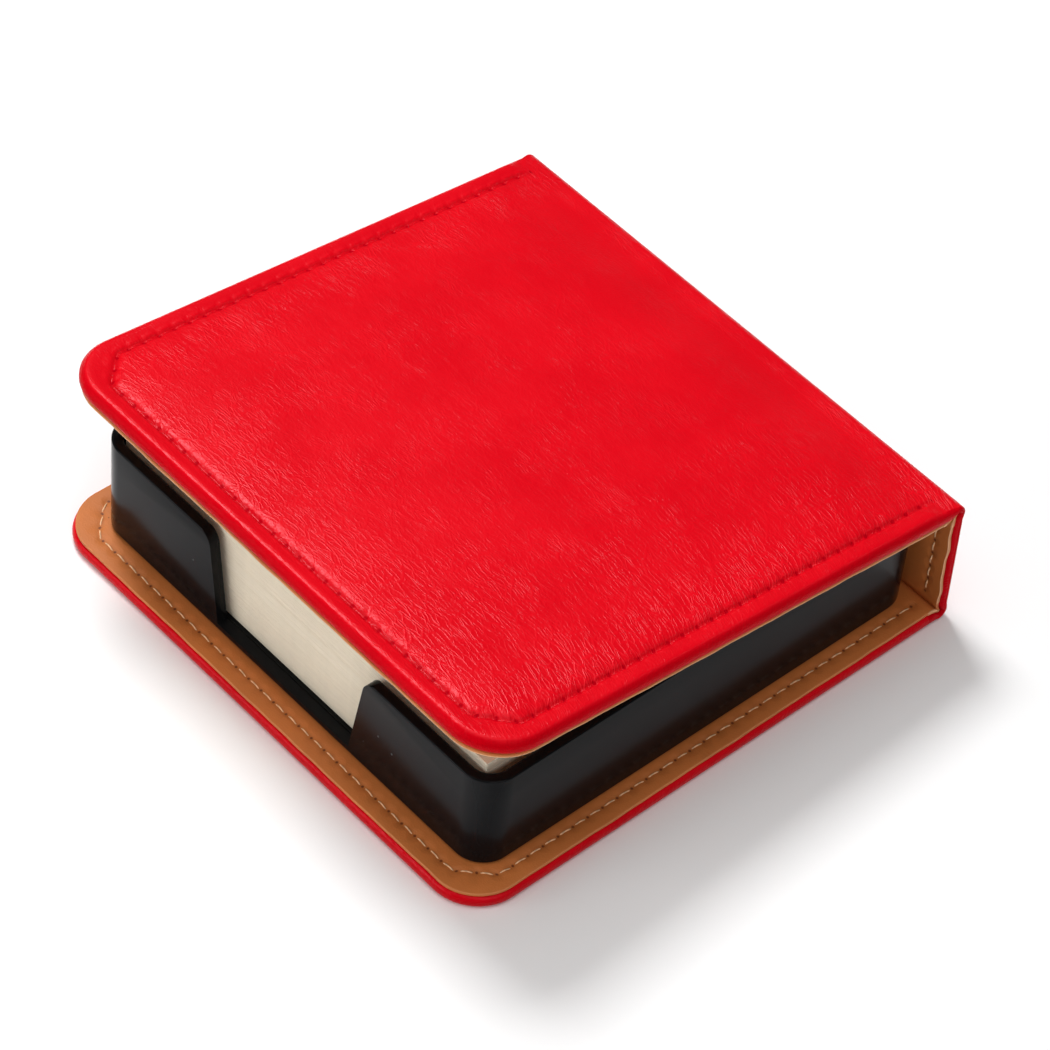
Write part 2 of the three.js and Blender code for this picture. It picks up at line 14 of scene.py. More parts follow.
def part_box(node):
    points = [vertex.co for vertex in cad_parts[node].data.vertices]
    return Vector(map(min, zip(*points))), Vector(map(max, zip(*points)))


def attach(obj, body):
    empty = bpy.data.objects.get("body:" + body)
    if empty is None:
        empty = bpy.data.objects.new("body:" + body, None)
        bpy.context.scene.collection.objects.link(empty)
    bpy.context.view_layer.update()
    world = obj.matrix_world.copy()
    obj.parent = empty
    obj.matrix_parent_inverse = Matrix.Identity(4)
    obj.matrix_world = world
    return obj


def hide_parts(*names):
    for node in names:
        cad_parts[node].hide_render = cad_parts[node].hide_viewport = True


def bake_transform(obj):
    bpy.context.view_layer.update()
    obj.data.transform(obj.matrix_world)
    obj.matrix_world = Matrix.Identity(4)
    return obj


bl_info = {
    "name": "Leather note holder",
    "version": (1, 0, 0),
    "blender": (4, 5, 0),
    "location": "3D View > Sidebar > Note Holder",
    "description": "A padded leather cover that folds over a black tray of loose note sheets",
    "category": "Object",
}

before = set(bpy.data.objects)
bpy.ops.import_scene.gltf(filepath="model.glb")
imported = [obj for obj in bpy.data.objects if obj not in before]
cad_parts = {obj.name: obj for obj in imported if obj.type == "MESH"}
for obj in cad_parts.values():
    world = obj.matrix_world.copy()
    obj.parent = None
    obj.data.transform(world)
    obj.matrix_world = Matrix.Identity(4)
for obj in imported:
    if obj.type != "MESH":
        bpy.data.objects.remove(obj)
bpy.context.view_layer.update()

MM = 0.001

BASE_LOW, BASE_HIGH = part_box("base_leather")
_, CREASE_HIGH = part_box("lower_crease_leather")
PILE_LOW, PILE_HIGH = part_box("note_pile")
TRAY_LOW, TRAY_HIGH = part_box("tray")


# Settings


def length(name, description, default):
    return FloatProperty(
        name=name, description=description, default=default, min=0, unit="LENGTH", precision=5)


def colour(name, description, default):
    return FloatVectorProperty(
        name=name, description=description, default=default, size=3, min=0, max=1,
        subtype="COLOR")


class CoverSizes(PropertyGroup):
    width: length("Width", "Cover from side to side", BASE_HIGH.x - BASE_LOW.x)
    panel_length: length(
        "Panel length", "Base panel from the crease to the front", BASE_HIGH.y - BASE_LOW.y)
    lid_shortfall: length("Lid shortfall", "How much shorter the lid is", 0.9 * MM)
    wrap: length("Wrapped board", "Thickness of a panel without its lining", 2.4 * MM)
    spine_wrap: length("Wrapped spine", "Thickness of the spine without lining", 2 * MM)
    lining: length("Lining", "Thickness of the tan lining", 0.7 * MM)
    glue_line: length("Glue line", "Gap between two layers", 0.1 * MM)
    crease_radius: length(
        "Crease radius", "Outer radius of both creases", CREASE_HIGH.y - BASE_HIGH.y)
    spine_run: length("Spine run", "Flat height of the spine", 23.9 * MM)
    spine_lean: FloatProperty(
        name="Spine lean", description="The spine's lean towards the tray",
        default=math.radians(2), subtype="ANGLE")
    rest_gap: length("Rest gap", "Clearance between lid and note sheets", 0.12 * MM)
    base_corner: length("Base corner", "Corner radius of the base", 9 * MM)
    lid_corner: length("Lid corner", "Corner radius of the lid", 10 * MM)
    edge_round: length("Edge rounding", "Radius where the leather turns in", 1.05 * MM)
    fold_reach: length("Fold reach", "Bendable strip beside each crease", 2.6 * MM)
    crown: length("Crown", "Height of the padding in the middle of the lid", 0.85 * MM)
    lip: length("Lip", "Steep part of the padding beside the stitches", 0.38 * MM)
    crown_reach: length("Crown reach", "Where the padding is at its full height", 30 * MM)
    bead: length("Bead", "How far the lid's edge stands up outside the stitches", 0.46 * MM)
    channel: length("Channel", "Depth of the sewn channel", 0.30 * MM)
    puff: length("Puff", "Rise of the leather between two stitches", 0.16 * MM)
    wrinkle: length("Wrinkle", "Height of the fine wrinkles on the lid", 0.10 * MM)
    drift: length("Drift", "How far wrinkles run to the front at the right row", 3 * MM)
    lining_inset: length("Lining inset", "Red edge that shows beside the lining", 0.5 * MM)


class StitchSizes(PropertyGroup):
    lid_row: length("Lid row", "Stitches from the lid's edge", 4 * MM)
    base_row: length("Base row", "Stitches from the base's edge", 3.4 * MM)
    spine_row: length("Spine row", "Stitches from the spine's ends", 3.4 * MM)
    pitch: length("Pitch", "One stitch to the next", 3.2 * MM)
    dash: length("Stitch", "Thread that shows of one stitch", 2.25 * MM)
    thread: length("Thread", "Thread thickness", 0.46 * MM)
    corner_cut: length("Corner cut", "How much shorter a row takes a corner", 1.5 * MM)
    seed: IntProperty(name="Seed", description="Small turns of the stitches", default=7)


class TraySizes(PropertyGroup):
    wall: length("Wall", "Wall thickness", 2 * MM)
    floor: length("Floor", "Floor thickness above the foot's underside", 1.4 * MM)
    corner: length("Corner", "Outer corner radius", 5.6 * MM)
    draft: length("Draft", "How far the rim leans out", 0.1 * MM)
    rim_round: length("Rim rounding", "Radius on both edges of the rim", 0.4 * MM)
    foot_round: length("Foot rounding", "Radius along the foot", 0.7 * MM)
    foot: length("Foot", "Depth of the hollow underneath", 0.5 * MM)
    foot_width: length("Foot width", "Width of the foot ring", 5 * MM)
    fillet: length("Fillet", "Radius between floor and wall", 0.5 * MM)
    notch: length("Notch", "Width of the finger notch at its sill", 33.2 * MM)
    flare: length("Flare", "How much each side of the notch opens", 2.9 * MM)
    sill: length("Sill", "Height of the notch's sill", 1.55 * MM)
    shoulder: length("Shoulder", "Rounding at the top of the notch", 3 * MM)
    edge: length("Cut edge", "Small round along the notch", 0.22 * MM)


class NoteSizes(PropertyGroup):
    sheet: length("Sheet", "Pitch of the sheets in the pile", 0.11 * MM)
    shift: length("Shift", "Largest sideways slip of a sheet", 0.02 * MM)
    seed: IntProperty(name="Seed", description="Order of the slips", default=3)


class Finishes(PropertyGroup):
    leather: colour("Leather", "Red cover", (0.72, 0.0, 0.007))
    # Painted shade: the darker red put in the needle holes
    leather_dark: colour("Leather, dark", "Red in the needle holes", (0.44, 0.0, 0.006))
    lining: colour("Lining", "Tan lining", (0.62, 0.188, 0.043))
    raw_edge: colour("Raw edge", "Cut edge of the lining", (0.85, 0.47, 0.24))
    plastic: colour("Plastic", "Black tray", (0.005, 0.0055, 0.0065))
    paper: colour("Paper", "Note sheets", (0.90, 0.81, 0.65))
    cream_thread: colour("Cream thread", "Stitches on the lining", (1.0, 0.63, 0.35))
    red_thread: colour("Red thread", "Stitches on the leather", (0.55, 0.002, 0.01))
    board: colour("Board", "Grey board in the cover", (0.30, 0.27, 0.23))
    adhesive: colour("Adhesive", "Pad under the tray", (0.80, 0.78, 0.72))


class StudioSizes(PropertyGroup):
    floor: colour("Floor", "Pale floor", (0.95, 0.95, 0.95))
    sky: FloatProperty(name="Sky", description="Strength of the even light", default=0.09)


# Shapes


HILL_TABLE = 256
CORNER_STEPS = 18
CLOSE = 0.02 * MM
CUT_START = 1.4 * MM
SEWN_FADE = 2 * MM
DRIFT_REACH = 9 * MM


def smooth(share):
    """Rises from 0 to 1 with flat ends."""
    t = np.clip(share, 0, 1)
    return t * t * (3 - 2 * t)


def ridge(away, width):
    """A round ridge: 1 where away is 0, and nearly flat two widths from there."""
    return np.exp(-(away / width) ** 2)


def at_needles(run, pitch):
    """1 at each needle hole along a row, and 0 in the middle of a stitch."""
    return 0.5 + 0.5 * np.cos(2 * math.pi * run / pitch)


def wave(s, *lengths):
    """An uneven wave between -1 and 1 along s, from a few plain waves."""
    total = sum(np.sin(2 * math.pi * s / one + 1.7 * k) for k, one in enumerate(lengths))
    return total / len(lengths)


def hills(x, y, seed):
    """Smooth random heights from 0 to 1, with a new one at every whole step."""
    table = np.random.default_rng(seed).random((HILL_TABLE, HILL_TABLE))
    i, j = np.floor(x).astype(int), np.floor(y).astype(int)
    s, t = smooth(x - i), smooth(y - j)

    def at(a, b):
        return table[(i + a) % HILL_TABLE, (j + b) % HILL_TABLE]

    return (at(0, 0) * (1 - s) + at(1, 0) * s) * (1 - t) + (at(0, 1) * (1 - s) + at(1, 1) * s) * t


def creases(x, y, long, apart, seed):
    """Rounded ridges from 0 to 1 that run along x, each long and some way apart."""
    bend = hills(x / (2.2 * long), y / (2.2 * long), seed + 1) * 2.2 * apart
    return (1 - np.abs(2 * hills(x / long, (y + bend) / apart, seed) - 1)) ** 2


def show(name, mesh):
    piece = bpy.data.objects.new(name, mesh)
    bpy.context.scene.collection.objects.link(piece)
    return piece


def evaluated_mesh(piece):
    """A plain mesh of a piece with its modifiers."""
    bpy.context.view_layer.update()
    graph = bpy.context.evaluated_depsgraph_get()
    return bpy.data.meshes.new_from_object(piece.evaluated_get(graph))


def bands(rings, closed=False):
    """Four-sided faces from each line of point numbers to the next."""
    faces = []
    for a, b in zip(rings, rings[1:]):
        if closed:
            a, b = [*a, a[0]], [*b, b[0]]
        faces += zip(a, a[1:], b[1:], b)
    return faces


def make_piece(name, points, faces, uv=None, flat_faces=(), **values):
    """A mesh object from points and faces, with normals out and named values per point."""
    mesh = bpy.data.meshes.new(name)
    mesh.from_pydata([tuple(p) for p in points], [],
                     [tuple(int(i) for i in face) for face in faces])
    mesh.update()
    if uv is not None:
        layer = mesh.uv_layers.new(name="Sheet")
        corners = np.zeros(len(mesh.loops), dtype=np.int32)
        mesh.loops.foreach_get("vertex_index", corners)
        layer.data.foreach_set("uv", np.asarray(uv, dtype=np.float32)[corners].ravel())
    for key, value in values.items():
        attribute = mesh.attributes.new(key, "FLOAT", "POINT")
        attribute.data.foreach_set("value", np.asarray(value, dtype=np.float32))
    shade = np.ones(len(mesh.polygons), dtype=bool)
    shade[list(flat_faces)] = False
    mesh.polygons.foreach_set("use_smooth", shade)
    edit = bmesh.new()
    edit.from_mesh(mesh)
    bmesh.ops.recalc_face_normals(edit, faces=edit.faces)
    edit.to_mesh(mesh)
    edit.free()
    return show(name, mesh)


# A crease: the ways in which the panel and the spine leave its centre, where the panel's
# sheet starts along the whole cover, and 1 at the lower crease or -1 at the upper one
Fold = namedtuple("Fold", "centre panel_way panel_out spine_way sheet sign")


def section_points(x, middle, out, away):
    """Points across the cover, a way off from a middle line."""
    return np.stack(np.broadcast_arrays(
        x, middle[0] + out[0] * away, middle[1] + out[1] * away), axis=-1)


def sheet_row(x, along):
    return np.stack([x, np.full(len(x), along)], axis=-1)


class Cover:
    """Where the cover's layers lie: two panels and a spine between two creases."""

    def __init__(self, sizes):
        self.sizes = sizes
        radius = sizes.crease_radius
        self.radius = radius
        self.half = sizes.width / 2
        self.lower = np.array([BASE_HIGH.y, radius])
        lean = sizes.spine_lean
        self.spine_way = np.array([-math.sin(lean), math.cos(lean)])
        self.spine_out = np.array([math.cos(lean), math.sin(lean)])
        self.upper = self.lower + self.spine_way * sizes.spine_run
        across = self.upper[0] - PILE_HIGH.y
        rise = PILE_HIGH.z - self.upper[1]
        panel = sizes.wrap + sizes.glue_line + sizes.lining
        drop = panel - radius + sizes.rest_gap
        lid_lean = math.atan2(rise, across) + math.asin(drop / math.hypot(across, rise))
        self.base_way = np.array([-1.0, 0.0])
        self.base_out = np.array([0.0, -1.0])
        self.lid_way = np.array([-math.cos(lid_lean), math.sin(lid_lean)])
        self.lid_out = np.array([math.sin(lid_lean), math.cos(lid_lean)])
        self.base_length = sizes.panel_length
        self.lid_length = sizes.panel_length - sizes.lid_shortfall
        # The sheet, unrolled: zero where the base ends, then the spine and the lid
        self.spine_start = radius * (math.pi / 2 + lean)
        self.lid_start = (self.spine_start + sizes.spine_run
                          + radius * (math.pi / 2 - lean - lid_lean))
        self.lower_fold = Fold(self.lower, self.base_way, self.base_out, self.spine_way, 0.0, 1)
        self.upper_fold = Fold(self.upper, self.lid_way, self.lid_out, -self.spine_way,
                               self.lid_start, -1)

    def on(self, centre, way, out, x, along, depth):
        """Points of a panel or the spine: depth is measured in from the outer face."""
        across = centre[0] + way[0] * along + out[0] * (self.radius - depth)
        up = centre[1] + way[1] * along + out[1] * (self.radius - depth)
        return np.stack(np.broadcast_arrays(x, across, up), axis=-1)

    def on_base(self, x, along, depth):
        return self.on(self.lower, self.base_way, self.base_out, x, along, depth)

    def on_lid(self, x, along, depth):
        return self.on(self.upper, self.lid_way, self.lid_out, x, along, depth)

    def on_spine(self, x, along, depth):
        return self.on(self.lower, self.spine_way, self.spine_out, x, along, depth)

    def base_sheet(self, points):
        return points * (1, -1)

    def lid_sheet(self, points):
        return points + (0, self.lid_start)

    def spine_rows(self, count):
        """Places along the spine, and a share that fades to 0 at both of its creases."""
        reach = self.sizes.fold_reach
        last = self.sizes.spine_run - reach
        for along in with_close_ends(np.linspace(reach, last, count)):
            yield along, smooth((along - reach) / SEWN_FADE) * smooth((last - along) / SEWN_FADE)


def with_close_ends(values):
    """Adds a value right beside both ends, so that the flat ends shade crisply."""
    first, last = values[0], values[-1]
    close = math.copysign(CLOSE, last - first)
    return np.array([first, first + close, *values[1:-1], last - close, last])


class PanelPlan:
    """Stations round three sides of a panel, from its fold round the front and back to
    the fold. An inset from the edge gives a line of points through all stations."""

    def __init__(self, half, far, corner, start, steps, row, cut):
        self.half, self.far, self.corner, self.start, self.row = half, far, corner, start, row
        sides = max(4, round((far - corner - start) / steps[0]))
        fronts = max(2, round(2 * (half - corner) / steps[1]))
        self.side_places = with_close_ends(np.linspace(start, far - corner, sides - 1))
        self.front_places = np.linspace(corner - half, half - corner, fronts + 1)
        side = list(self.side_places)
        front = [(x, far - corner) for x in self.front_places]
        turn = [math.pi / 2 * k / CORNER_STEPS for k in range(1, CORNER_STEPS)]
        core = [(corner - half, v) for v in side]
        core += [(corner - half, far - corner)] * len(turn) + front
        core += [(half - corner, far - corner)] * len(turn)
        core += [(half - corner, v) for v in side[::-1]]
        out = [(-1, 0)] * len(side) + [(-math.cos(a), math.sin(a)) for a in turn]
        out += [(0, 1)] * len(front) + [(math.sin(a), math.cos(a)) for a in turn]
        out += [(1, 0)] * len(side)
        self.core, self.out = np.array(core), np.array(out)
        # Which point on the rim of the middle each station belongs to
        last = sides + fronts
        self.rim = [*range(sides + 1), *[sides] * len(turn), *range(sides, last + 1),
                    *[last] * len(turn), *range(last, last + sides + 1)]
        self.cut = cut * 2 * np.abs(self.out[:, 0] * self.out[:, 1])
        self.run = np.zeros(len(core))
        self.run[1:] = np.cumsum(np.hypot(*np.diff(self.line(row), axis=0).T))

    def line(self, inset):
        """The line at an inset. Near the stitch row it takes the corners a bit shorter."""
        first = smooth((inset - CUT_START) / (self.row - CUT_START))
        last = smooth((self.corner - inset) / (self.corner - self.row - MM))
        return self.core + self.out * (self.corner - inset - self.cut * first * last)[:, None]

    def row_point(self, s):
        """Where a run along the stitch row is."""
        points = self.line(self.row)
        return np.stack([np.interp(s, self.run, part) for part in points.T], axis=-1)


class WavyPlan(PanelPlan):
    """A plan whose cut edge wanders a little."""

    def __init__(self, plan, edge):
        self.__dict__.update(plan.__dict__)
        self.edge = edge
        fade = smooth(plan.run / (4 * MM)) * smooth((plan.run[-1] - plan.run) / (4 * MM))
        self.wander = 0.09 * MM * wave(plan.run, 27 * MM, 13 * MM, 61 * MM, 7 * MM) * fade

    def line(self, inset):
        share = np.exp(-max(inset - self.edge, 0) / (0.8 * MM))
        return super().line(inset) + self.out * (self.wander * share)[:, None]


def panel_plans(cover, stitches, base_steps, lid_steps):
    """The base's and the lid's plan, with their steps along the sides and the front."""
    sizes = cover.sizes
    return [PanelPlan(cover.half, far, corner, sizes.fold_reach, steps, row, stitches.corner_cut)
            for far, corner, steps, row in (
                (cover.base_length, sizes.base_corner, base_steps, stitches.base_row),
                (cover.lid_length, sizes.lid_corner, lid_steps, stitches.lid_row))]


def edge_profile(thickness, rounding, core, tops, steps=6):
    """Inset and depth from the middle of the inner face, round the edge, to the outer
    face: a panel's rim seen in section."""
    r = min(rounding, thickness / 2)
    angles = [math.pi / 2 * k / steps for k in range(steps + 1)]
    profile = [(core, thickness), (2 * rounding, thickness)]
    profile += [(r - r * math.sin(a), thickness - r + r * math.cos(a)) for a in angles]
    profile += [(r - r * math.cos(a), r - r * math.sin(a)) for a in angles]
    return profile + [(inset, 0.0) for inset in tops]


def panel_solid(name, place, plan, profile, heights, sheet, grid=False, raw=None):
    """A closed panel: rings of stations along a profile, and a middle that is either a
    grid with its own heights or flat. Raw gives how raw the edge is at some rings."""
    rows = []

    def put(line, depth, inset, run, spread=None, raw_edge=0.0):
        """Adds a line of points with their values, and gives their numbers."""
        first, count = sum(len(row[0]) for row in rows), len(line)
        rows.append((place(*line.T, depth), sheet(line if spread is None else spread),
                     run + np.zeros(count), inset - plan.row + np.zeros(count),
                     np.full(count, raw_edge)))
        return list(range(first, first + count))

    steps = np.hypot(*np.diff(profile, axis=0).T)
    arc = [0.0, *itertools.accumulate(steps)]
    rings = []
    for k, (inset, depth) in enumerate(profile):
        line = plan.line(inset)
        lift = heights(inset, depth, line, plan.run)
        spread = plan.line(arc[k] - (arc[-1] - profile[-1][0]))
        rings.append(put(line, depth - lift, inset, plan.run, spread, (raw or {}).get(k, 0.0)))
    faces = bands(rings)

    def join(line, rim):
        """Joins the stations to the rim of a middle, with triangles at its corners."""
        rim = [rim[k] for k in plan.rim]
        for a, b, c, d in zip(line, line[1:], rim[1:], rim):
            faces.append((a, b, c) if c == d else (a, b, c, d))

    # The flat inner middle: its rim, then one face
    stations = list({k: i for i, k in enumerate(plan.rim)}.values())
    core, core_run = plan.core[stations], plan.run[stations]
    inner = put(core, profile[0][1], plan.corner, core_run)
    join(rings[0], inner)
    flat = [len(faces)]
    faces.append(inner)
    # The outer middle
    if grid:
        across, along = np.meshgrid(plan.front_places, plan.side_places)
        spots = np.stack([across.ravel(), along.ravel()], axis=-1)
        p = plan.half - plan.corner - np.abs(spots[:, 0])
        q = plan.far - plan.corner - spots[:, 1]
        inset = plan.corner + p + q - np.hypot(p, q)
        lift = heights(inset, 0.0, spots, np.zeros(len(spots)))
        cells = np.array(put(spots, -lift, inset, 0.0)).reshape(across.shape)
        faces += bands(cells)
        rim = [*cells[:, 0], *cells[-1, 1:], *cells[-2::-1, -1]]
        back = list(cells[0])
    else:
        rim = put(core, profile[-1][1], plan.corner, core_run)
        faces.append(rim)
        back = [rim[0], rim[-1]]
    join(rings[-1], rim)
    # The end at the fold
    flat.append(len(faces))
    faces.append([inner[0], *[ring[0] for ring in rings], *back,
                  *[ring[-1] for ring in rings[::-1]], inner[-1]])
    points, uv, run, gap, raw_edge = (np.concatenate(part) for part in zip(*rows))
    values = dict(row_run=run, row_gap=gap)
    if raw:
        values["raw_edge"] = raw_edge
    return make_piece(name, points, faces, uv, flat, **values)


def swept_solid(name, sections):
    """A closed solid with a flat face at both ends, through equal loops. Each loop gives
    its points, their places on the sheet, their run and gap, and how raw the edge is."""
    points, uv, *values = (np.concatenate(part) for part in zip(*sections))
    loops = np.arange(len(points)).reshape(len(sections), -1)
    faces = bands(loops, closed=True)
    flat = [len(faces), len(faces) + 1]
    faces += [loops[0], loops[-1]]
    return make_piece(name, points, faces, uv, flat,
                      **dict(zip(("row_run", "row_gap", "raw_edge"), values)))


# Materials


SOCKET_KINDS = {float: "Float", int: "Int"}
EVEN_GREY = (0.5, 0.5, 0.5)
# Painted highlight: the pale pink put on the leather's wrinkle ridges
LEATHER_WRINKLE_HIGHLIGHT = (1.0, 0.004, 0.018, 1.0)
LEATHER_SHINE = (1.0, 0.36, 0.42, 1.0)
LINING_SPECK = (0.12, 0.04, 0.01, 1.0)
# Darker tan along the lining's stitch rows
LINING_ROW_DARK = (0.28, 0.085, 0.018, 1.0)
# Painted shade colour for the lining's needle holes
LINING_HOLE_SHADE = (0.17, 0.040, 0.007, 1.0)
DUST = (0.10, 0.10, 0.10, 1.0)
LEATHER_HOLE_RADIUS = 0.44 * MM
LINING_HOLE_RADIUS = 0.31 * MM
FLAT_EDGES = {"voronoi_dimensions": "2D", "feature": "DISTANCE_TO_EDGE"}


class Tree:
    """Short calls that build a node tree. An input takes a value or a socket."""

    def __init__(self, tree, end):
        self.data = tree
        self.end = tree.nodes.new(end)

    def feed(self, node, **inputs):
        """Links or sets a node's inputs, by name or as i and a number."""
        for key, value in inputs.items():
            numbered = key[0] == "i" and key[1:].isdigit()
            socket = node.inputs[int(key[1:]) if numbered else key.replace("_", " ")]
            if isinstance(value, bpy.types.NodeSocket):
                self.data.links.new(value, socket)
            else:
                socket.default_value = value

    def finish(self, **inputs):
        self.feed(self.end, **inputs)

    def add(self, kind, settings=None, **inputs):
        """Adds a node and gives its outputs."""
        node = self.data.nodes.new(kind)
        for key, value in (settings or {}).items():
            setattr(node, key, value)
        self.feed(node, **inputs)
        return node.outputs

    def math(self, operation, *values):
        inputs = {f"i{k}": value for k, value in enumerate(values)}
        return self.add("ShaderNodeMath", {"operation": operation}, **inputs)[0]

    def times(self, a, b):
        return self.math("MULTIPLY", a, b)

    def vector(self, operation, a, **inputs):
        return self.add("ShaderNodeVectorMath", {"operation": operation}, i0=a, **inputs)[0]

    def xyz(self, **parts):
        return self.add("ShaderNodeCombineXYZ", **parts)[0]

    def split(self, vector):
        return self.add("ShaderNodeSeparateXYZ", Vector=vector)

    def ramp(self, value, low, high, to_low=0.0, to_high=1.0):
        return self.add("ShaderNodeMapRange", {"interpolation_type": "SMOOTHSTEP"},
                        i0=value, i1=low, i2=high, i3=to_low, i4=to_high)[0]

    def mix(self, share, a, b):
        return self.add("ShaderNodeMix", {"data_type": "RGBA"}, i0=share, i6=a, i7=b)[2]

    def noise(self, place, scale, detail, roughness=0.5, dimensions="3D"):
        return self.add("ShaderNodeTexNoise", {"noise_dimensions": dimensions}, Vector=place,
                        Scale=scale, Detail=detail, Roughness=roughness)

    def bump(self, height, distance, **under):
        return self.add("ShaderNodeBump", Height=height, Distance=distance, Strength=1.0,
                        **under)[0]

    def group(self, name, **inputs):
        return self.add("ShaderNodeGroup", {"node_tree": bpy.data.node_groups[name]}, **inputs)

    def attribute(self, name):
        return self.add("ShaderNodeAttribute", {"attribute_name": name})["Fac"]

    def sheet(self):
        return self.add("ShaderNodeUVMap", {"uv_map": "Sheet"})[0]

    def place(self):
        return self.add("ShaderNodeTexCoord")["Object"]


def new_group(kind, name, inputs, outputs):
    """A node group whose sockets are given by their kinds, or by a number to start from."""
    group = bpy.data.node_groups.new(name, kind + "NodeTree")
    for way, sockets in (("INPUT", inputs), ("OUTPUT", outputs)):
        for label, value in sockets.items():
            given = SOCKET_KINDS.get(type(value))
            socket = group.interface.new_socket(
                name=label, in_out=way, socket_type="NodeSocket" + (given or value))
            if given:
                socket.default_value = value
    tree = Tree(group, "NodeGroupOutput")
    tree.given = group.nodes.new("NodeGroupInput").outputs
    return tree


def leather_grain_group():
    """Long fine wrinkles over a soft pebble grain, in the sheet's own metres."""
    tree = new_group("Shader", "Leather grain", {"Sheet": "Vector", "Size": 1.0, "Stretch": 3.2},
                     {"Wrinkles": "Float", "Pebble": "Float", "Mottle": "Float"})
    sheet = tree.given["Sheet"]
    bend = tree.vector("SUBTRACT", tree.noise(sheet, 160.0, 2.0, dimensions="2D")["Color"],
                       i1=EVEN_GREY)
    bent = tree.vector("ADD", sheet, i1=tree.vector("SCALE", bend, Scale=0.0016))
    across, along, _ = tree.split(bent)
    drawn = tree.xyz(X=tree.math("DIVIDE", across, tree.given["Stretch"]), Y=along)
    scaled = tree.vector("SCALE", drawn, Scale=tree.given["Size"])
    fine, coarse = (tree.add("ShaderNodeTexVoronoi", FLAT_EDGES, Vector=scaled, Scale=scale)
                    for scale in (1250.0, 640.0))
    lines = tree.ramp(fine["Distance"], 0.0, 0.13, 1.0, 0.0)
    deep = tree.ramp(coarse["Distance"], 0.0, 0.09, 1.0, 0.0)
    patch = tree.noise(sheet, 95.0, 2.0, 0.6, "2D")["Fac"]
    there = tree.ramp(patch, 0.35, 0.62, 0.55, 1.0)
    both = tree.math("MAXIMUM", tree.times(lines, 0.85), tree.times(deep, 0.9))
    pebble = tree.add("ShaderNodeTexVoronoi", {"voronoi_dimensions": "2D", "feature": "SMOOTH_F1"},
                      Vector=bent, Scale=2600.0, Smoothness=0.6)
    tree.finish(Wrinkles=tree.times(both, there), Pebble=pebble["Distance"],
                Mottle=tree.noise(sheet, 55.0, 5.0, 0.6, "2D")["Fac"])


def needle_mark(tree, run, gap, half_pitch, radius):
    """How far the nearest needle hole's middle is, and a round mark of that radius."""
    along = tree.math("PINGPONG", run, half_pitch)
    away = tree.add("ShaderNodeVectorMath", {"operation": "LENGTH"},
                    i0=tree.xyz(X=along, Y=gap))["Value"]
    return away, tree.ramp(tree.math("DIVIDE", away, radius), 0.45, 1.15, 1.0, 0.0)


def needle_group():
    """A round mark at each needle hole: the row runs at gap zero, one hole every pitch."""
    tree = new_group("Shader", "Needle holes",
                     {"Run": "Float", "Gap": "Float", "Pitch": 0.0033, "Radius": 0.0004},
                     {"Hole": "Float", "Row": "Float", "Pull": "Float"})
    gap = tree.given["Gap"]
    away, hole = needle_mark(tree, tree.given["Run"], gap, tree.times(tree.given["Pitch"], 0.5),
                             tree.given["Radius"])
    tree.finish(Hole=hole, Row=tree.ramp(tree.math("ABSOLUTE", gap), 0.0002, 0.0008, 1.0, 0.0),
                Pull=tree.ramp(away, 0.0003, 0.0016, 1.0, 0.0))


def dust_group():
    """Scattered tiny specks."""
    tree = new_group("Shader", "Dust specks",
                     {"Place": "Vector", "Count": 260.0, "Share": 0.12, "Speck": 0.045},
                     {"Mask": "Float"})
    cells = tree.add("ShaderNodeTexVoronoi", Vector=tree.given["Place"], Scale=tree.given["Count"])
    chance, size, _ = tree.add("ShaderNodeSeparateColor", Color=cells["Color"])
    dot = tree.math("LESS_THAN", cells["Distance"], tree.times(size, tree.given["Speck"]))
    some = tree.math("LESS_THAN", chance, tree.given["Share"])
    tree.finish(Mask=tree.times(dot, some))


def new_material(name):
    """A new material's tree, which ends in its shader."""
    material = bpy.data.materials.new(name)
    material.use_nodes = True
    material.node_tree.nodes.clear()
    tree = Tree(material.node_tree, "ShaderNodeBsdfPrincipled")
    tree.add("ShaderNodeOutputMaterial", Surface=tree.end.outputs[0])
    return tree


def rgba(tint, share=1.0):
    """A colour for a socket, darker where the share is less than 1."""
    return (*[share * part for part in tint], 1.0)


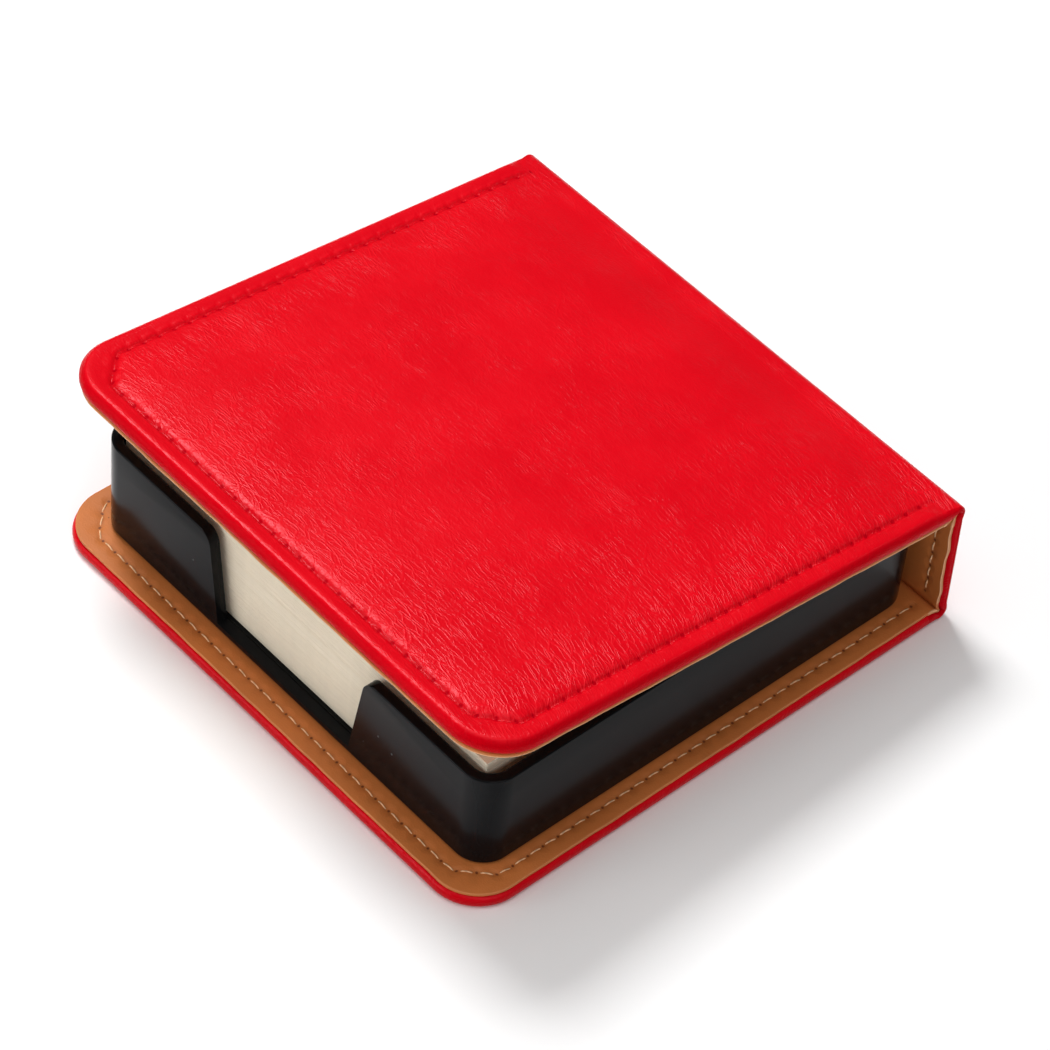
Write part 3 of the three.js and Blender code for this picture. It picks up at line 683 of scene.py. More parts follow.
def leather_material(sizes, finishes, stitches):
    """Red faux leather: wrinkles that grow towards the stitches with a painted highlight on them,
    painted shade in the needle holes and on the turned-in edge, and a painted shadow along the
    stitch rows.
    """
    tree = new_material("Red leather")
    side, along, _ = tree.split(tree.sheet())
    from_row = tree.math("SUBTRACT", side, sizes.width / 2 - stitches.lid_row)
    share = tree.math("EXPONENT", tree.math("DIVIDE", from_row, DRIFT_REACH))
    drawn = tree.xyz(X=side, Y=tree.math("SUBTRACT", along, tree.times(share, sizes.drift)))
    grain = tree.group("Leather grain", Sheet=drawn, Size=1.0, Stretch=4.2)
    gap, run = tree.attribute("row_gap"), tree.attribute("row_run")
    from_holes = tree.math("SUBTRACT", gap, 0.22 * MM)
    needle = tree.group("Needle holes", Run=run, Gap=from_holes, Pitch=stitches.pitch,
                        Radius=LEATHER_HOLE_RADIUS)
    # Wrinkles: stronger near the stitches and on the right, weak outside the stitches
    near = tree.ramp(gap, 0.2 * MM, 14 * MM, 0.85, 0.5)
    right = tree.ramp(side, 0.0, 50 * MM, 0.8, 1.25)
    inside = tree.ramp(gap, -0.6 * MM, 0.1 * MM, 0.4, 1.0)
    wrinkles = tree.times(grain["Wrinkles"], tree.times(tree.times(near, right), inside))
    deep = tree.bump(wrinkles, 0.05 * MM)
    # Colour: mottled red, a painted highlight on the wrinkles, painted shade where turned in and a
    # painted shadow along the stitch row
    red = tree.mix(tree.ramp(grain["Mottle"], 0.3, 0.7), rgba(finishes.leather, 0.93),
                   rgba(finishes.leather))
    # Painted highlight: paler red on the wrinkle ridges
    pale = tree.mix(tree.times(wrinkles, 0.22), red, LEATHER_WRINKLE_HIGHLIGHT)
    # Painted shade: darker red on the turned-in edge; the same mask also weakens the shine there
    turned = tree.ramp(gap, -3.6 * MM, -2.9 * MM, 0.35, 0.0)
    edge_shaded = tree.mix(turned, pale, rgba(finishes.leather, 0.45))
    # Painted shadow: darker red along the stitch row
    sewn = tree.mix(tree.times(needle["Row"], 0.35), edge_shaded, rgba(finishes.leather, 0.6))
    # Shine: weak in the needle holes and where turned in, from the material's own nodes
    _, hole = needle_mark(tree, run, from_holes, stitches.pitch / 2, LEATHER_HOLE_RADIUS)
    shine = tree.ramp(hole, 0.0, 0.6, 0.34, 0.04)
    under = tree.math("SUBTRACT", 1.0, tree.times(turned, 2.5))
    # Painted shade: dark red in the needle holes
    tree.finish(Base_Color=tree.mix(needle["Hole"], sewn, rgba(finishes.leather_dark)),
                Roughness=tree.ramp(grain["Mottle"], 0.3, 0.7, 0.29, 0.35),
                Normal=tree.bump(grain["Pebble"], 0.022 * MM, Normal=deep),
                Specular_IOR_Level=tree.times(shine, under),
                Specular_Tint=LEATHER_SHINE)


def lining_material(finishes, stitches):
    """Tan lining: faint pores and specks, a pale raw edge, darker along the stitch rows, and
    painted shade in the needle holes.
    """
    tree = new_material("Tan lining")
    sheet = tree.sheet()
    raw = tree.attribute("raw_edge")
    grain = tree.group("Leather grain", Sheet=sheet, Size=1.1, Stretch=1.4)
    needle = tree.group("Needle holes", Run=tree.attribute("row_run"),
                        Gap=tree.attribute("row_gap"), Pitch=stitches.pitch,
                        Radius=LINING_HOLE_RADIUS)
    specks = tree.group("Dust specks", Place=sheet, Count=420.0, Share=0.16, Speck=0.10)[0]
    tan = tree.mix(tree.ramp(grain["Mottle"], 0.3, 0.7), rgba(finishes.lining, 0.88),
                   rgba(finishes.lining))
    spotted = tree.mix(tree.times(specks, 0.6), tan, LINING_SPECK)
    # Darker tan along the stitch row
    pressed = tree.mix(tree.times(needle["Row"], 0.25), spotted, LINING_ROW_DARK)
    # Painted shade: dark tan in the needle holes
    hole_shaded = tree.mix(needle["Hole"], pressed, LINING_HOLE_SHADE)
    fibres = tree.times(tree.noise(sheet, 4200.0, 3.0)["Fac"], raw)
    surface = tree.bump(tree.math("ADD", fibres, tree.times(grain["Wrinkles"], 0.25)), 0.05 * MM)
    pores = tree.bump(grain["Pebble"], 0.012 * MM, Normal=surface)
    pulled = tree.bump(tree.times(needle["Pull"], -1.0), 0.12 * MM, Normal=pores)
    tree.finish(Base_Color=tree.mix(raw, hole_shaded, rgba(finishes.raw_edge)), Normal=pulled,
                Roughness=tree.ramp(grain["Mottle"], 0.3, 0.7, 0.52, 0.62), Specular_IOR_Level=0.35)


def thread_material(name, thread):
    """Twisted sewing thread."""
    tree = new_material(name)
    place = tree.place()
    fuzz = tree.noise(place, 3200.0, 2.0)["Fac"]
    ply = tree.add("ShaderNodeTexWave", {"bands_direction": "DIAGONAL"}, Vector=place,
                   Scale=420.0, Distortion=1.5)["Fac"]
    tree.finish(Base_Color=tree.mix(tree.ramp(ply, 0.1, 0.9), rgba(thread, 0.72), rgba(thread)),
                Roughness=tree.ramp(fuzz, 0.3, 0.7, 0.55, 0.75),
                Normal=tree.bump(tree.math("ADD", ply, tree.times(fuzz, 0.6)), 0.05 * MM))


def plastic_material(finishes):
    """Glossy black plastic with a faint ripple, and a little dust."""
    tree = new_material("Black plastic")
    place = tree.place()
    dust = tree.group("Dust specks", Place=place, Count=300.0, Share=0.07, Speck=0.09)[0]
    smear = tree.ramp(tree.noise(place, 45.0, 4.0)["Fac"], 0.35, 0.7, 0.15, 0.22)
    tree.finish(Base_Color=tree.mix(dust, rgba(finishes.plastic), DUST),
                Roughness=tree.math("ADD", smear, tree.times(dust, 0.5)),
                Normal=tree.bump(tree.noise(place, 90.0, 2.0)["Fac"], 0.03 * MM),
                Specular_IOR_Level=0.09)


def paper_material(finishes):
    """Matte cream paper whose cut sides show the faint bands of the sheets."""
    tree = new_material("Cream paper")
    parts = tree.split(tree.place())

    def drawn(scales, detail):
        """Noise with its own scale on each axis."""
        place = tree.xyz(**{axis: tree.times(part, scale)
                            for axis, part, scale in zip("XYZ", parts, scales)})
        return tree.noise(place, 1.0, detail)["Fac"]

    bands = drawn((260.0, 260.0, 1500.0), 3.0)
    knife = drawn((420.0, 420.0, 12.0), 2.0)
    share = tree.times(tree.math("ADD", bands, knife), 0.5)
    tree.finish(Base_Color=tree.mix(tree.ramp(share, 0.35, 0.65), rgba(finishes.paper, 0.955),
                                    rgba(finishes.paper)),
                Roughness=tree.ramp(bands, 0.3, 0.7, 0.82, 0.95), Specular_IOR_Level=0.2)


def fibre_material(name, tint, roughness):
    """Board or foam: a fine fibrous noise."""
    tree = new_material(name)
    fibres = tree.noise(tree.place(), 900.0, 5.0)["Fac"]
    tree.finish(Base_Color=tree.mix(tree.ramp(fibres, 0.3, 0.7), rgba(tint, 0.75), rgba(tint)),
                Normal=tree.bump(fibres, 0.08 * MM), Roughness=roughness)


def make_materials(scene):
    finishes, stitches = scene.holder_finishes, scene.holder_stitches
    leather_grain_group()
    needle_group()
    dust_group()
    leather_material(scene.holder_cover, finishes, stitches)
    lining_material(finishes, stitches)
    thread_material("Cream thread", finishes.cream_thread)
    thread_material("Red thread", finishes.red_thread)
    plastic_material(finishes)
    paper_material(finishes)
    fibre_material("Grey board", finishes.board, 0.9)
    fibre_material("Foam adhesive", finishes.adhesive, 0.7)


def give_finish(piece, material):
    piece.data.materials.clear()
    piece.data.materials.append(bpy.data.materials[material])


# Leather


EDGE_TOPS = [1.2, 1.4, 1.65, 1.9, 2.2, 2.5, 2.8, 3.1, 3.35, 3.6, 3.8, 4.0, 4.2, 4.4,
             4.65, 4.9, 5.2, 5.6, 6.1, 6.8, 7.6, 8.4]
EDGE_TOPS_ROW = 4 * MM
BASE_STEPS = (1.1 * MM, 1.1 * MM)
LID_STEPS = (0.30 * MM, 0.70 * MM)
FINE_STEPS = (0.55 * MM, 0.55 * MM)
CORE_GAP = 0.4 * MM
SPINE_CORE = 9 * MM
TURNED_IN_GAP = -4 * MM
PINCHED_SKIN = 1.2 * MM
STRIP_STEPS = 6
BEND_STEPS = 11
SPINE_STEPS = 34
SPINE_LINING_STEPS = 36
SPINE_ACROSS = 60
LARGE_WRINKLES = dict(long=5.0 * MM, apart=1.6 * MM, seed=11)
SMALL_WRINKLES = dict(long=2.4 * MM, apart=0.85 * MM, seed=23)


def top_insets(row):
    """Insets on the outer face, closest together at the stitch row."""
    return [inset * MM + (row - EDGE_TOPS_ROW) for inset in EDGE_TOPS]


def lid_heights(sizes, stitches, plan):
    """The lid's form over its flat outer face: bead, sewn channel, crown and wrinkles."""
    row = plan.row

    def heights(inset, depth, line, run):
        if depth > sizes.edge_round:
            return np.zeros(len(line))
        inset = np.broadcast_to(inset, (len(line),))
        x, along = line.T
        from_fold = along - plan.start
        hole = at_needles(run, stitches.pitch) ** 3
        # The padding rises behind the row, pulled in between the stitches
        scallop = (1 - np.abs(np.sin(math.pi * run / stitches.pitch))) ** 1.2
        near = np.clip(1 - (inset - row) / (4 * MM), 0, 1)
        begin = row + (0.05 + 0.95 * scallop * near) * MM
        rise = 1 - np.exp(-np.clip(inset - begin, 0, None) / (0.60 * MM))
        crown = sizes.crown * np.sqrt(smooth((inset - row) / (sizes.crown_reach - row)))
        billow = 0.05 * MM * wave(x + 0.4 * along, 31 * MM, 19 * MM, 47 * MM)
        # The edge: a bead, and puffs between the needle holes of the channel
        groove = ridge(inset - row, 0.36 * MM) * (0.55 + 0.45 * hole)
        share = (inset - 0.2 * sizes.edge_round) / (row - 0.2 * sizes.edge_round)
        bead = np.sin(np.clip(share, 0, 1) ** 0.7 * math.pi) ** 1.2
        bead = bead * (1 - depth / sizes.edge_round) ** 2
        puff = ridge(row - inset - 0.62 * MM, 0.42 * MM) * (1 - hole)
        # Wrinkles, with more of them at the side rows
        inside = smooth((inset - row - 0.3 * MM) / (1.5 * MM))
        right = np.exp(-np.clip(plan.half - row - x, 0, None) / (9 * MM))
        left = np.exp(-np.clip(plan.half - row + x, 0, None) / (6 * MM))
        calm = smooth((from_fold - 3 * MM) / (16 * MM))
        curve = along - sizes.drift * np.exp((x - plan.half + row) / DRIFT_REACH)
        large = creases(x, curve, **LARGE_WRINKLES) * (0.12 + 1.1 * right + 0.3 * left)
        small = creases(x, curve, **SMALL_WRINKLES) * (0.5 + 0.3 * right)
        folds = sizes.wrinkle * calm * inside * (large + 0.45 * small)
        return (smooth(from_fold / (15 * MM))
                * (crown + billow * smooth((inset - row) / (8 * MM))) + folds
                + smooth(from_fold / (10 * MM)) * sizes.lip * rise
                + smooth(from_fold / (3 * MM)) * (sizes.bead * bead + sizes.puff * puff
                                                  - sizes.channel * groove))
    return heights


def flat_heights(row, deepest, pitch, start):
    """A flat outer face with a shallow sewn groove."""
    def heights(inset, depth, line, run):
        if depth > 0:
            return np.zeros(len(line))
        groove = ridge(inset - row, 0.45 * MM) * (0.5 + 0.5 * at_needles(run, pitch))
        return -deepest * groove * smooth((line[:, 1] - start) / SEWN_FADE)
    return heights


def across_section(half, core, profile, columns):
    """The whole section of a strip: round one end, over the face and round the other."""
    left = [(inset - half, depth, inset) for inset, depth in profile]
    middle = [(x, 0.0, core) for x in columns]
    right = [(-x, depth, inset) for x, depth, inset in left[::-1]]
    return np.array(left + middle + right)


def strip_frames(cover, fold):
    """Places along a crease strip: from the panel over the bend to the spine."""
    reach = cover.sizes.fold_reach
    start, stop = (math.atan2(out[1], out[0]) for out in (fold.panel_out, cover.spine_out))
    bend = cover.radius * abs(stop - start)
    frames = []
    for share in with_close_ends(reach * np.linspace(1, 0, STRIP_STEPS)) / reach:
        frames.append((fold.centre + fold.panel_way * reach * share, fold.panel_out,
                       -reach * share))
    for share in np.linspace(0, 1, BEND_STEPS)[1:-1]:
        angle = start + (stop - start) * share
        frames.append((fold.centre, (math.cos(angle), math.sin(angle)), bend * share))
    for share in with_close_ends(reach * np.linspace(0, 1, STRIP_STEPS)) / reach:
        frames.append((fold.centre + fold.spine_way * reach * share, cover.spine_out,
                       bend + reach * share))
    return frames, bend


def strip_thickness(sizes, along, bend):
    """A strip is as thick as the panel and spine at its ends and pinched at the bend."""
    share = np.clip((along + sizes.fold_reach) / (bend + 2 * sizes.fold_reach), 0, 1)
    ends = sizes.wrap + (sizes.spine_wrap - sizes.wrap) * smooth(share)
    pinch = 1 - abs(2 * share - 1)
    return ends - (ends - PINCHED_SKIN) * smooth((pinch - 0.25) / 0.5)


def crease_skin(name, cover, fold, tops, core, columns):
    """The bendable strip of leather between a panel and the spine."""
    frames, bend = strip_frames(cover, fold)
    sections = []
    for middle, out, along in frames:
        thickness = strip_thickness(cover.sizes, along, bend)
        profile = edge_profile(thickness, cover.sizes.edge_round, core, tops)
        x, depth, _ = across_section(cover.half, core, profile, columns).T
        sections.append((section_points(x, middle, out, cover.radius - depth),
                         sheet_row(x, fold.sheet + fold.sign * along), np.zeros(len(x)),
                         np.where(depth > 0, TURNED_IN_GAP, 6 * MM)))
    return swept_solid(name, sections)


def spine_skin(cover, stitches):
    """The leather of the spine, with a sewn groove near both ends."""
    sizes, row = cover.sizes, stitches.spine_row
    profile = edge_profile(sizes.spine_wrap, sizes.edge_round, SPINE_CORE, top_insets(row)[2:])
    reach = cover.half - SPINE_CORE
    x, depth, inset = across_section(cover.half, SPINE_CORE, profile,
                                     np.linspace(-reach, reach, SPINE_ACROSS)).T
    sections = []
    for along, fade in cover.spine_rows(SPINE_STEPS):
        hole = at_needles(along, stitches.pitch)
        groove = 0.15 * MM * ridge(inset - row, 0.45 * MM)
        pressed = np.where(depth > 0, 0, groove * (0.5 + 0.5 * hole) * fade)
        sections.append((cover.on_spine(x, along, depth + pressed),
                         sheet_row(x, cover.spine_start + along), np.full(len(x), along),
                         np.where(depth > 0, TURNED_IN_GAP, inset - row)))
    return swept_solid("spine_cover", sections)


def blend_across(piece, cover, fold, thickness):
    """Works out where a crease strip's ends meet the panel and the spine, then only bakes the
    strip's transform into its mesh; the strip is not bent.
    """
    travel = fold.spine_way - fold.panel_way
    travel = travel / np.linalg.norm(travel)

    def ends(way, out):
        """How far along the travel the strip's outer and inner face end."""
        return [float((fold.centre + way * cover.sizes.fold_reach + out * away) @ travel)
                for away in (cover.radius, cover.radius - thickness)]

    panel_end = (0, *(travel * max(ends(fold.panel_way, fold.panel_out))))
    spine_end = (0, *(travel * min(ends(fold.spine_way, cover.spine_out))))
    if fold is cover.lower_fold:
        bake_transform(piece)
    else:
        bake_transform(piece)


def make_leather(scene):
    sizes, stitches = scene.holder_cover, scene.holder_stitches
    cover = Cover(sizes)
    base_plan, lid_plan = panel_plans(cover, stitches, BASE_STEPS, LID_STEPS)

    base_core = sizes.base_corner - CORE_GAP
    base_tops = [t for t in top_insets(stitches.base_row)
                 if 1.2 * MM < t < sizes.base_corner - 0.3 * MM]
    base = panel_solid(
        "base_cover", cover.on_base, base_plan,
        edge_profile(sizes.wrap, sizes.edge_round, base_core, base_tops),
        flat_heights(stitches.base_row, 0.18 * MM, stitches.pitch, base_plan.start),
        cover.base_sheet)
    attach(base, "base")
    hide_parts("base_leather")

    lid_core = sizes.lid_corner - CORE_GAP
    lid_tops = top_insets(stitches.lid_row)
    lid = panel_solid(
        "lid_cover", cover.on_lid, lid_plan,
        edge_profile(sizes.wrap, sizes.edge_round, lid_core, lid_tops),
        lid_heights(sizes, stitches, lid_plan), cover.lid_sheet, grid=True)
    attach(lid, "lid")
    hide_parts("lid_leather", "lid_padding")

    base_columns = base_plan.front_places[[0, -1]]
    lower = crease_skin("lower_fold", cover, cover.lower_fold, base_tops, base_core,
                        base_columns)
    upper = crease_skin("upper_fold", cover, cover.upper_fold, lid_tops, lid_core,
                        lid_plan.front_places)
    spine = spine_skin(cover, stitches)
    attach(spine, "spine")
    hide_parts("spine_leather")

    for piece in (base, lid, spine, lower, upper):
        give_finish(piece, "Red leather")
    blend_across(lower, cover, cover.lower_fold, sizes.wrap)
    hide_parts("lower_crease_leather")
    blend_across(upper, cover, cover.upper_fold, sizes.wrap)
    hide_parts("upper_crease_leather")


# Lining


RAW_RINGS = (5, 6)
RAW_ON_BASE = 0.15
RAW_UNDER = 0.15
RAW_WIDTH = 0.02 * MM
FAR_FROM_ROW = 5 * MM
WANDER_REACH = 1 * MM
EDGE_COLUMNS = (0, 0.05, 0.12, 0.3, 0.8)
SPINE_COLUMNS = (1.4, 1.9, 2.3, 2.6, 2.9, 3.2, 3.5, 3.9, 4.5, 9)

# Shares of a crease lining's reach along the panel and of its depth, from end to bend
FOLD_SHARES = [(1.0, 1.0), (0.99, 1.0), (0.75, 1.0), (0.52, 0.86), (0.30, 0.52), (0.12, 0.10)]


def lining_profile(sizes, row, core, top, under):
    """Inset and depth of a lining's rim: raw edge, and rings closer at the stitches."""
    edge = sizes.lining_inset
    bevel = 0.12 * MM
    rim = [(core, under), (edge + 1.5 * MM, under), (edge + bevel, under),
           (edge, under + bevel), (edge, (under + top) / 2), (edge, top - bevel),
           (edge + 0.35 * bevel, top - 0.35 * bevel), (edge + bevel, top)]
    insets = [edge + x * MM for x in (0.3, 0.6, 1.0, 1.5)]
    rows = [row + x * MM for x in (-1.0, -0.7, -0.45, -0.25, 0, 0.25, 0.45, 0.7, 1.0, 1.6, 2.6)]
    return rim + [(inset, top) for inset in sorted(insets + rows)]


def lining_groove(away, hole):
    """How deep the stitches press into the lining, some way from their row."""
    return 0.16 * MM * ridge(away, 0.5 * MM) * (0.45 + 0.55 * hole)


def lining_panel(name, cover, place, plan, sheet, pitch, rawness):
    sizes, row = cover.sizes, plan.row
    edge = sizes.lining_inset
    under = sizes.wrap + sizes.glue_line
    top = under + sizes.lining

    def heights(inset, depth, line, run):
        lift = np.zeros(len(line))
        if depth > (under + top) / 2:
            lift += lining_groove(inset - row, at_needles(run, pitch))
            lift -= 0.05 * MM * ridge(inset - 1.6 * MM, 0.7 * MM)
        if depth > under:
            fade = smooth((line[:, 1] - plan.start) / (3 * MM))
            curl = np.exp(-(inset - edge) / (1.2 * MM))
            lift -= 0.06 * MM * wave(run, 23 * MM, 9 * MM, 41 * MM) * fade * curl
        return lift

    profile = lining_profile(sizes, row, plan.corner - CORE_GAP, top, under)
    return panel_solid(name, place, WavyPlan(plan, edge), profile, heights, sheet,
                       raw={ring: rawness for ring in RAW_RINGS})


def catmull(points, steps):
    """A smooth line through points."""
    points = [2 * points[0] - points[1], *points, 2 * points[-1] - points[-2]]
    line = []
    for a, b, c, d in zip(points, points[1:], points[2:], points[3:]):
        for k in range(steps):
            t = k / steps
            line.append(0.5 * (2 * b + (c - a) * t + (2 * a - 5 * b + 4 * c - d) * t ** 2
                               + (3 * b - a - 3 * c + d) * t ** 3))
    line.append(points[-2])
    return line


def both_sides(columns, edge):
    """Places across a strip from insets in millimetres, closest together at both edges."""
    left = [x * MM - edge for x in columns]
    return np.array(left + [-x for x in left[::-1]])


def wandering(columns, edge, wander):
    """The same places, with the cut edges moved in or out a little."""
    return columns + np.sign(columns) * wander * np.exp(-(edge - np.abs(columns)) / WANDER_REACH)


def lining_section(face, rear, along, run, gap, inset, sizes):
    """One loop of a lining strip: over its face and back along its rear."""
    x = face[:, 0]
    raw = (inset < sizes.lining_inset + RAW_WIDTH) * np.repeat([1.0, RAW_UNDER], len(x))
    return (np.concatenate([face, rear[::-1]]), sheet_row(np.concatenate([x, x[::-1]]), along),
            np.full(2 * len(x), run), np.concatenate([gap, np.full(len(x), FAR_FROM_ROW)]), raw)


def crease_lining(name, cover, fold, row):
    """The lining between a panel and the spine, pinched out into the fold."""
    sizes = cover.sizes
    reach = sizes.fold_reach
    panel_depth = sizes.wrap + sizes.glue_line + sizes.lining / 2 - cover.radius
    spine_depth = sizes.spine_wrap + sizes.glue_line + sizes.lining / 2 - cover.radius
    tuck = fold.panel_out + cover.spine_out
    tuck = tuck / np.linalg.norm(tuck) * 0.40 * MM
    path = [fold.centre + fold.panel_way * reach * a - fold.panel_out * panel_depth * b
            for a, b in FOLD_SHARES]
    path.append(fold.centre + tuck)
    path += [fold.centre + fold.spine_way * reach * a - cover.spine_out * spine_depth * b
             for a, b in FOLD_SHARES[::-1]]
    line = catmull(path, 4)
    total = len(line) - 1
    edge = cover.half - sizes.lining_inset
    at_row = [row / MM + x for x in (-0.9, -0.4, 0, 0.4, 0.9)]
    columns = both_sides([*EDGE_COLUMNS, 1.6, *at_row, 9], edge)
    sections = []
    along = 0.0
    for k, point in enumerate(line):
        before, after = line[max(k - 1, 0)], line[min(k + 1, total)]
        tangent = (after - before) / np.linalg.norm(after - before)
        normal = np.array([-tangent[1], tangent[0]]) * fold.sign
        if k:
            along += float(np.linalg.norm(point - line[k - 1]))
        share = k / total
        pinch = smooth(1 - abs(2 * share - 1) * 1.6)
        half = sizes.lining / 2 - pinch * 0.11 * MM
        ends = smooth(min(share, 1 - share) * 6)
        wander = 0.14 * MM * math.sin(7 * share + (1 - fold.sign)) * ends
        x = wandering(columns, edge, wander)
        place = np.concatenate([x, x[::-1]])
        sections.append(lining_section(
            section_points(x, point, normal, half), section_points(x, point, normal, -half),
            fold.sheet - fold.sign * reach + fold.sign * along, 0.0,
            np.full(len(x), FAR_FROM_ROW), edge - np.abs(place) + sizes.lining_inset, sizes))
    return swept_solid(name, sections)


def spine_lining(cover, stitches):
    sizes = cover.sizes
    under = sizes.spine_wrap + sizes.glue_line
    top = under + sizes.lining
    edge = cover.half - sizes.lining_inset
    columns = both_sides([*EDGE_COLUMNS, *SPINE_COLUMNS], edge)
    inset = edge - np.abs(columns) + sizes.lining_inset
    sections = []
    for along, fade in cover.spine_rows(SPINE_LINING_STEPS):
        x = wandering(columns, edge,
                      0.22 * MM * wave(along, 14 * MM, 5.3 * MM, 9 * MM) * fade)
        groove = lining_groove(inset - stitches.spine_row, at_needles(along, stitches.pitch))
        curl = 0.12 * MM * wave(along, 11 * MM, 6 * MM) * np.exp(
            -(inset - sizes.lining_inset) / (0.9 * MM))
        sections.append(lining_section(
            cover.on_spine(x, along, top - (groove + curl * 0.5) * fade),
            cover.on_spine(x, along, under), cover.spine_start + along, along,
            inset - stitches.spine_row, np.concatenate([inset, inset[::-1]]), sizes))
    return swept_solid("spine_lining_sheet", sections)


def make_lining(scene):
    sizes, stitches = scene.holder_cover, scene.holder_stitches
    cover = Cover(sizes)
    base_plan, lid_plan = panel_plans(cover, stitches, FINE_STEPS, FINE_STEPS)
    base = lining_panel("base_lining_sheet", cover, cover.on_base, base_plan,
                        cover.base_sheet, stitches.pitch, RAW_ON_BASE)
    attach(base, "base")
    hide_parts("base_lining")
    lid = lining_panel("lid_lining_sheet", cover, cover.on_lid, lid_plan,
                       cover.lid_sheet, stitches.pitch, 1.0)
    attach(lid, "lid")
    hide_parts("lid_lining")
    spine = spine_lining(cover, stitches)
    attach(spine, "spine")
    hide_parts("spine_lining")
    lower = crease_lining("lower_fold_lining", cover, cover.lower_fold, stitches.base_row)
    upper = crease_lining("upper_fold_lining", cover, cover.upper_fold, stitches.lid_row)
    for piece in (base, lid, spine, lower, upper):
        give_finish(piece, "Tan lining")
    panel = sizes.wrap + sizes.glue_line + sizes.lining
    blend_across(lower, cover, cover.lower_fold, panel)
    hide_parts("lower_crease_lining")
    blend_across(upper, cover, cover.upper_fold, panel)
    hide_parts("upper_crease_lining")


# Stitches, by Geometry Nodes


STITCH_ARCH = 0.16 * MM
SUNK_IN_LINING = 0.02 * MM
SUNK_IN_BASE = 0.22 * MM
SUNK_IN_LID = 0.42 * MM
SUNK_IN_SPINE = 0.12 * MM


def stitch_tree():
    """One bent thread per point, turned along the point's own way and face."""
    tree = new_group("Geometry", "Stitch row",
                     {"Geometry": "Geometry", "Stitch": 0.00235, "Thread": 0.0004,
                      "Arch": 0.00025, "Seed": 0, "Material": "Material"},
                     {"Geometry": "Geometry"})
    thread, arch, seed = (tree.given[name] for name in ("Thread", "Arch", "Seed"))
    half = tree.times(tree.given["Stitch"], 0.5)
    dip = tree.times(thread, -0.75)
    lead = tree.times(half, 0.72)
    curve = tree.add("GeometryNodeCurvePrimitiveBezierSegment", {"mode": "POSITION"},
                     Resolution=9, Start=tree.xyz(X=tree.times(half, -1.0), Z=dip),
                     Start_Handle=tree.xyz(X=tree.times(lead, -1.0), Z=arch),
                     End_Handle=tree.xyz(X=lead, Z=arch), End=tree.xyz(X=half, Z=dip))[0]
    middle = tree.math("PINGPONG", tree.add("GeometryNodeSplineParameter")["Factor"], 0.5)
    swell = tree.ramp(middle, 0.0, 0.22, 0.55, 1.0)
    wide = tree.add("GeometryNodeSetCurveRadius", Curve=curve, Radius=swell)[0]
    ring = tree.add("GeometryNodeCurvePrimitiveCircle", {"mode": "RADIUS"}, Resolution=8,
                    Radius=tree.times(thread, 0.5))[0]
    stitch = tree.add("GeometryNodeCurveToMesh", Curve=wide, Profile_Curve=ring, Scale=swell,
                      Fill_Caps=True)[0]
    way, out = (tree.add("GeometryNodeInputNamedAttribute", {"data_type": "FLOAT_VECTOR"},
                         Name=name)[0] for name in ("way", "face"))
    turned = tree.add("FunctionNodeAxesToRotation",
                      {"primary_axis": "Z", "secondary_axis": "X"},
                      Primary_Axis=out, Secondary_Axis=way)[0]
    slant = tree.add("FunctionNodeRandomValue", {"data_type": "FLOAT"}, i2=-0.12, i3=-0.03,
                     Seed=seed)[1]
    twist = tree.add("FunctionNodeAxisAngleToRotation", Axis=(0.0, 0.0, 1.0), Angle=slant)[0]
    both = tree.add("FunctionNodeRotateRotation", {"rotation_space": "LOCAL"},
                    Rotation=turned, Rotate_By=twist)[0]
    size = tree.add("FunctionNodeRandomValue", {"data_type": "FLOAT"}, i2=0.93, i3=1.05,
                    Seed=tree.math("ADD", seed, 5))[1]
    placed = tree.add("GeometryNodeInstanceOnPoints", Points=tree.given["Geometry"],
                      Instance=stitch, Rotation=both, Scale=size)[0]
    real = tree.add("GeometryNodeRealizeInstances", Geometry=placed)[0]
    shaded = tree.add("GeometryNodeSetShadeSmooth", Geometry=real)[0]
    tree.finish(Geometry=tree.add("GeometryNodeSetMaterial", Geometry=shaded,
                                  Material=tree.given["Material"])[0])
    return tree.data


def run_nodes(name, group, mesh, **inputs):
    """Runs a Geometry Nodes group on a mesh and returns the plain result as an object."""
    carrier = bpy.data.objects.new(name + "_rows", mesh)
    bpy.context.scene.collection.objects.link(carrier)
    modifier = carrier.modifiers.new("Rows", "NODES")
    modifier.node_group = group
    for item in group.interface.items_tree:
        if item.in_out == "INPUT" and item.name in inputs:
            modifier[item.identifier] = inputs[item.name]
    result = evaluated_mesh(carrier)
    if not len(result.vertices):
        raise RuntimeError(f"{name}: the rows came out empty")
    bpy.data.objects.remove(carrier)
    result.name = name
    return show(name, result)


def row_mesh(name, centres, ways, faces):
    """Points that carry the way and the face of the stitch that is put on them."""
    mesh = bpy.data.meshes.new(name)
    mesh.from_pydata([tuple(p) for p in centres], [], [])
    for key, value in (("way", ways), ("face", faces)):
        layer = mesh.attributes.new(key, "FLOAT_VECTOR", "POINT")
        layer.data.foreach_set("vector", np.asarray(value, dtype=np.float32).ravel())
    return mesh


def panel_row(place, plan, depth, facing, pitch):
    """Stitch places round a panel, each in the middle between two needle holes."""
    middles = (np.arange(int(plan.run[-1] / pitch)) + 0.5) * pitch
    centres, ahead, behind = (plan.row_point(middles + step * pitch)
                              for step in (0, 0.45, -0.45))
    between = (ahead + behind) / 2 * 0.5 + centres * 0.5
    points, front, rear = (place(*line.T, depth) for line in (between, ahead, behind))
    return points, front - rear, np.tile((0, *facing), (len(middles), 1))


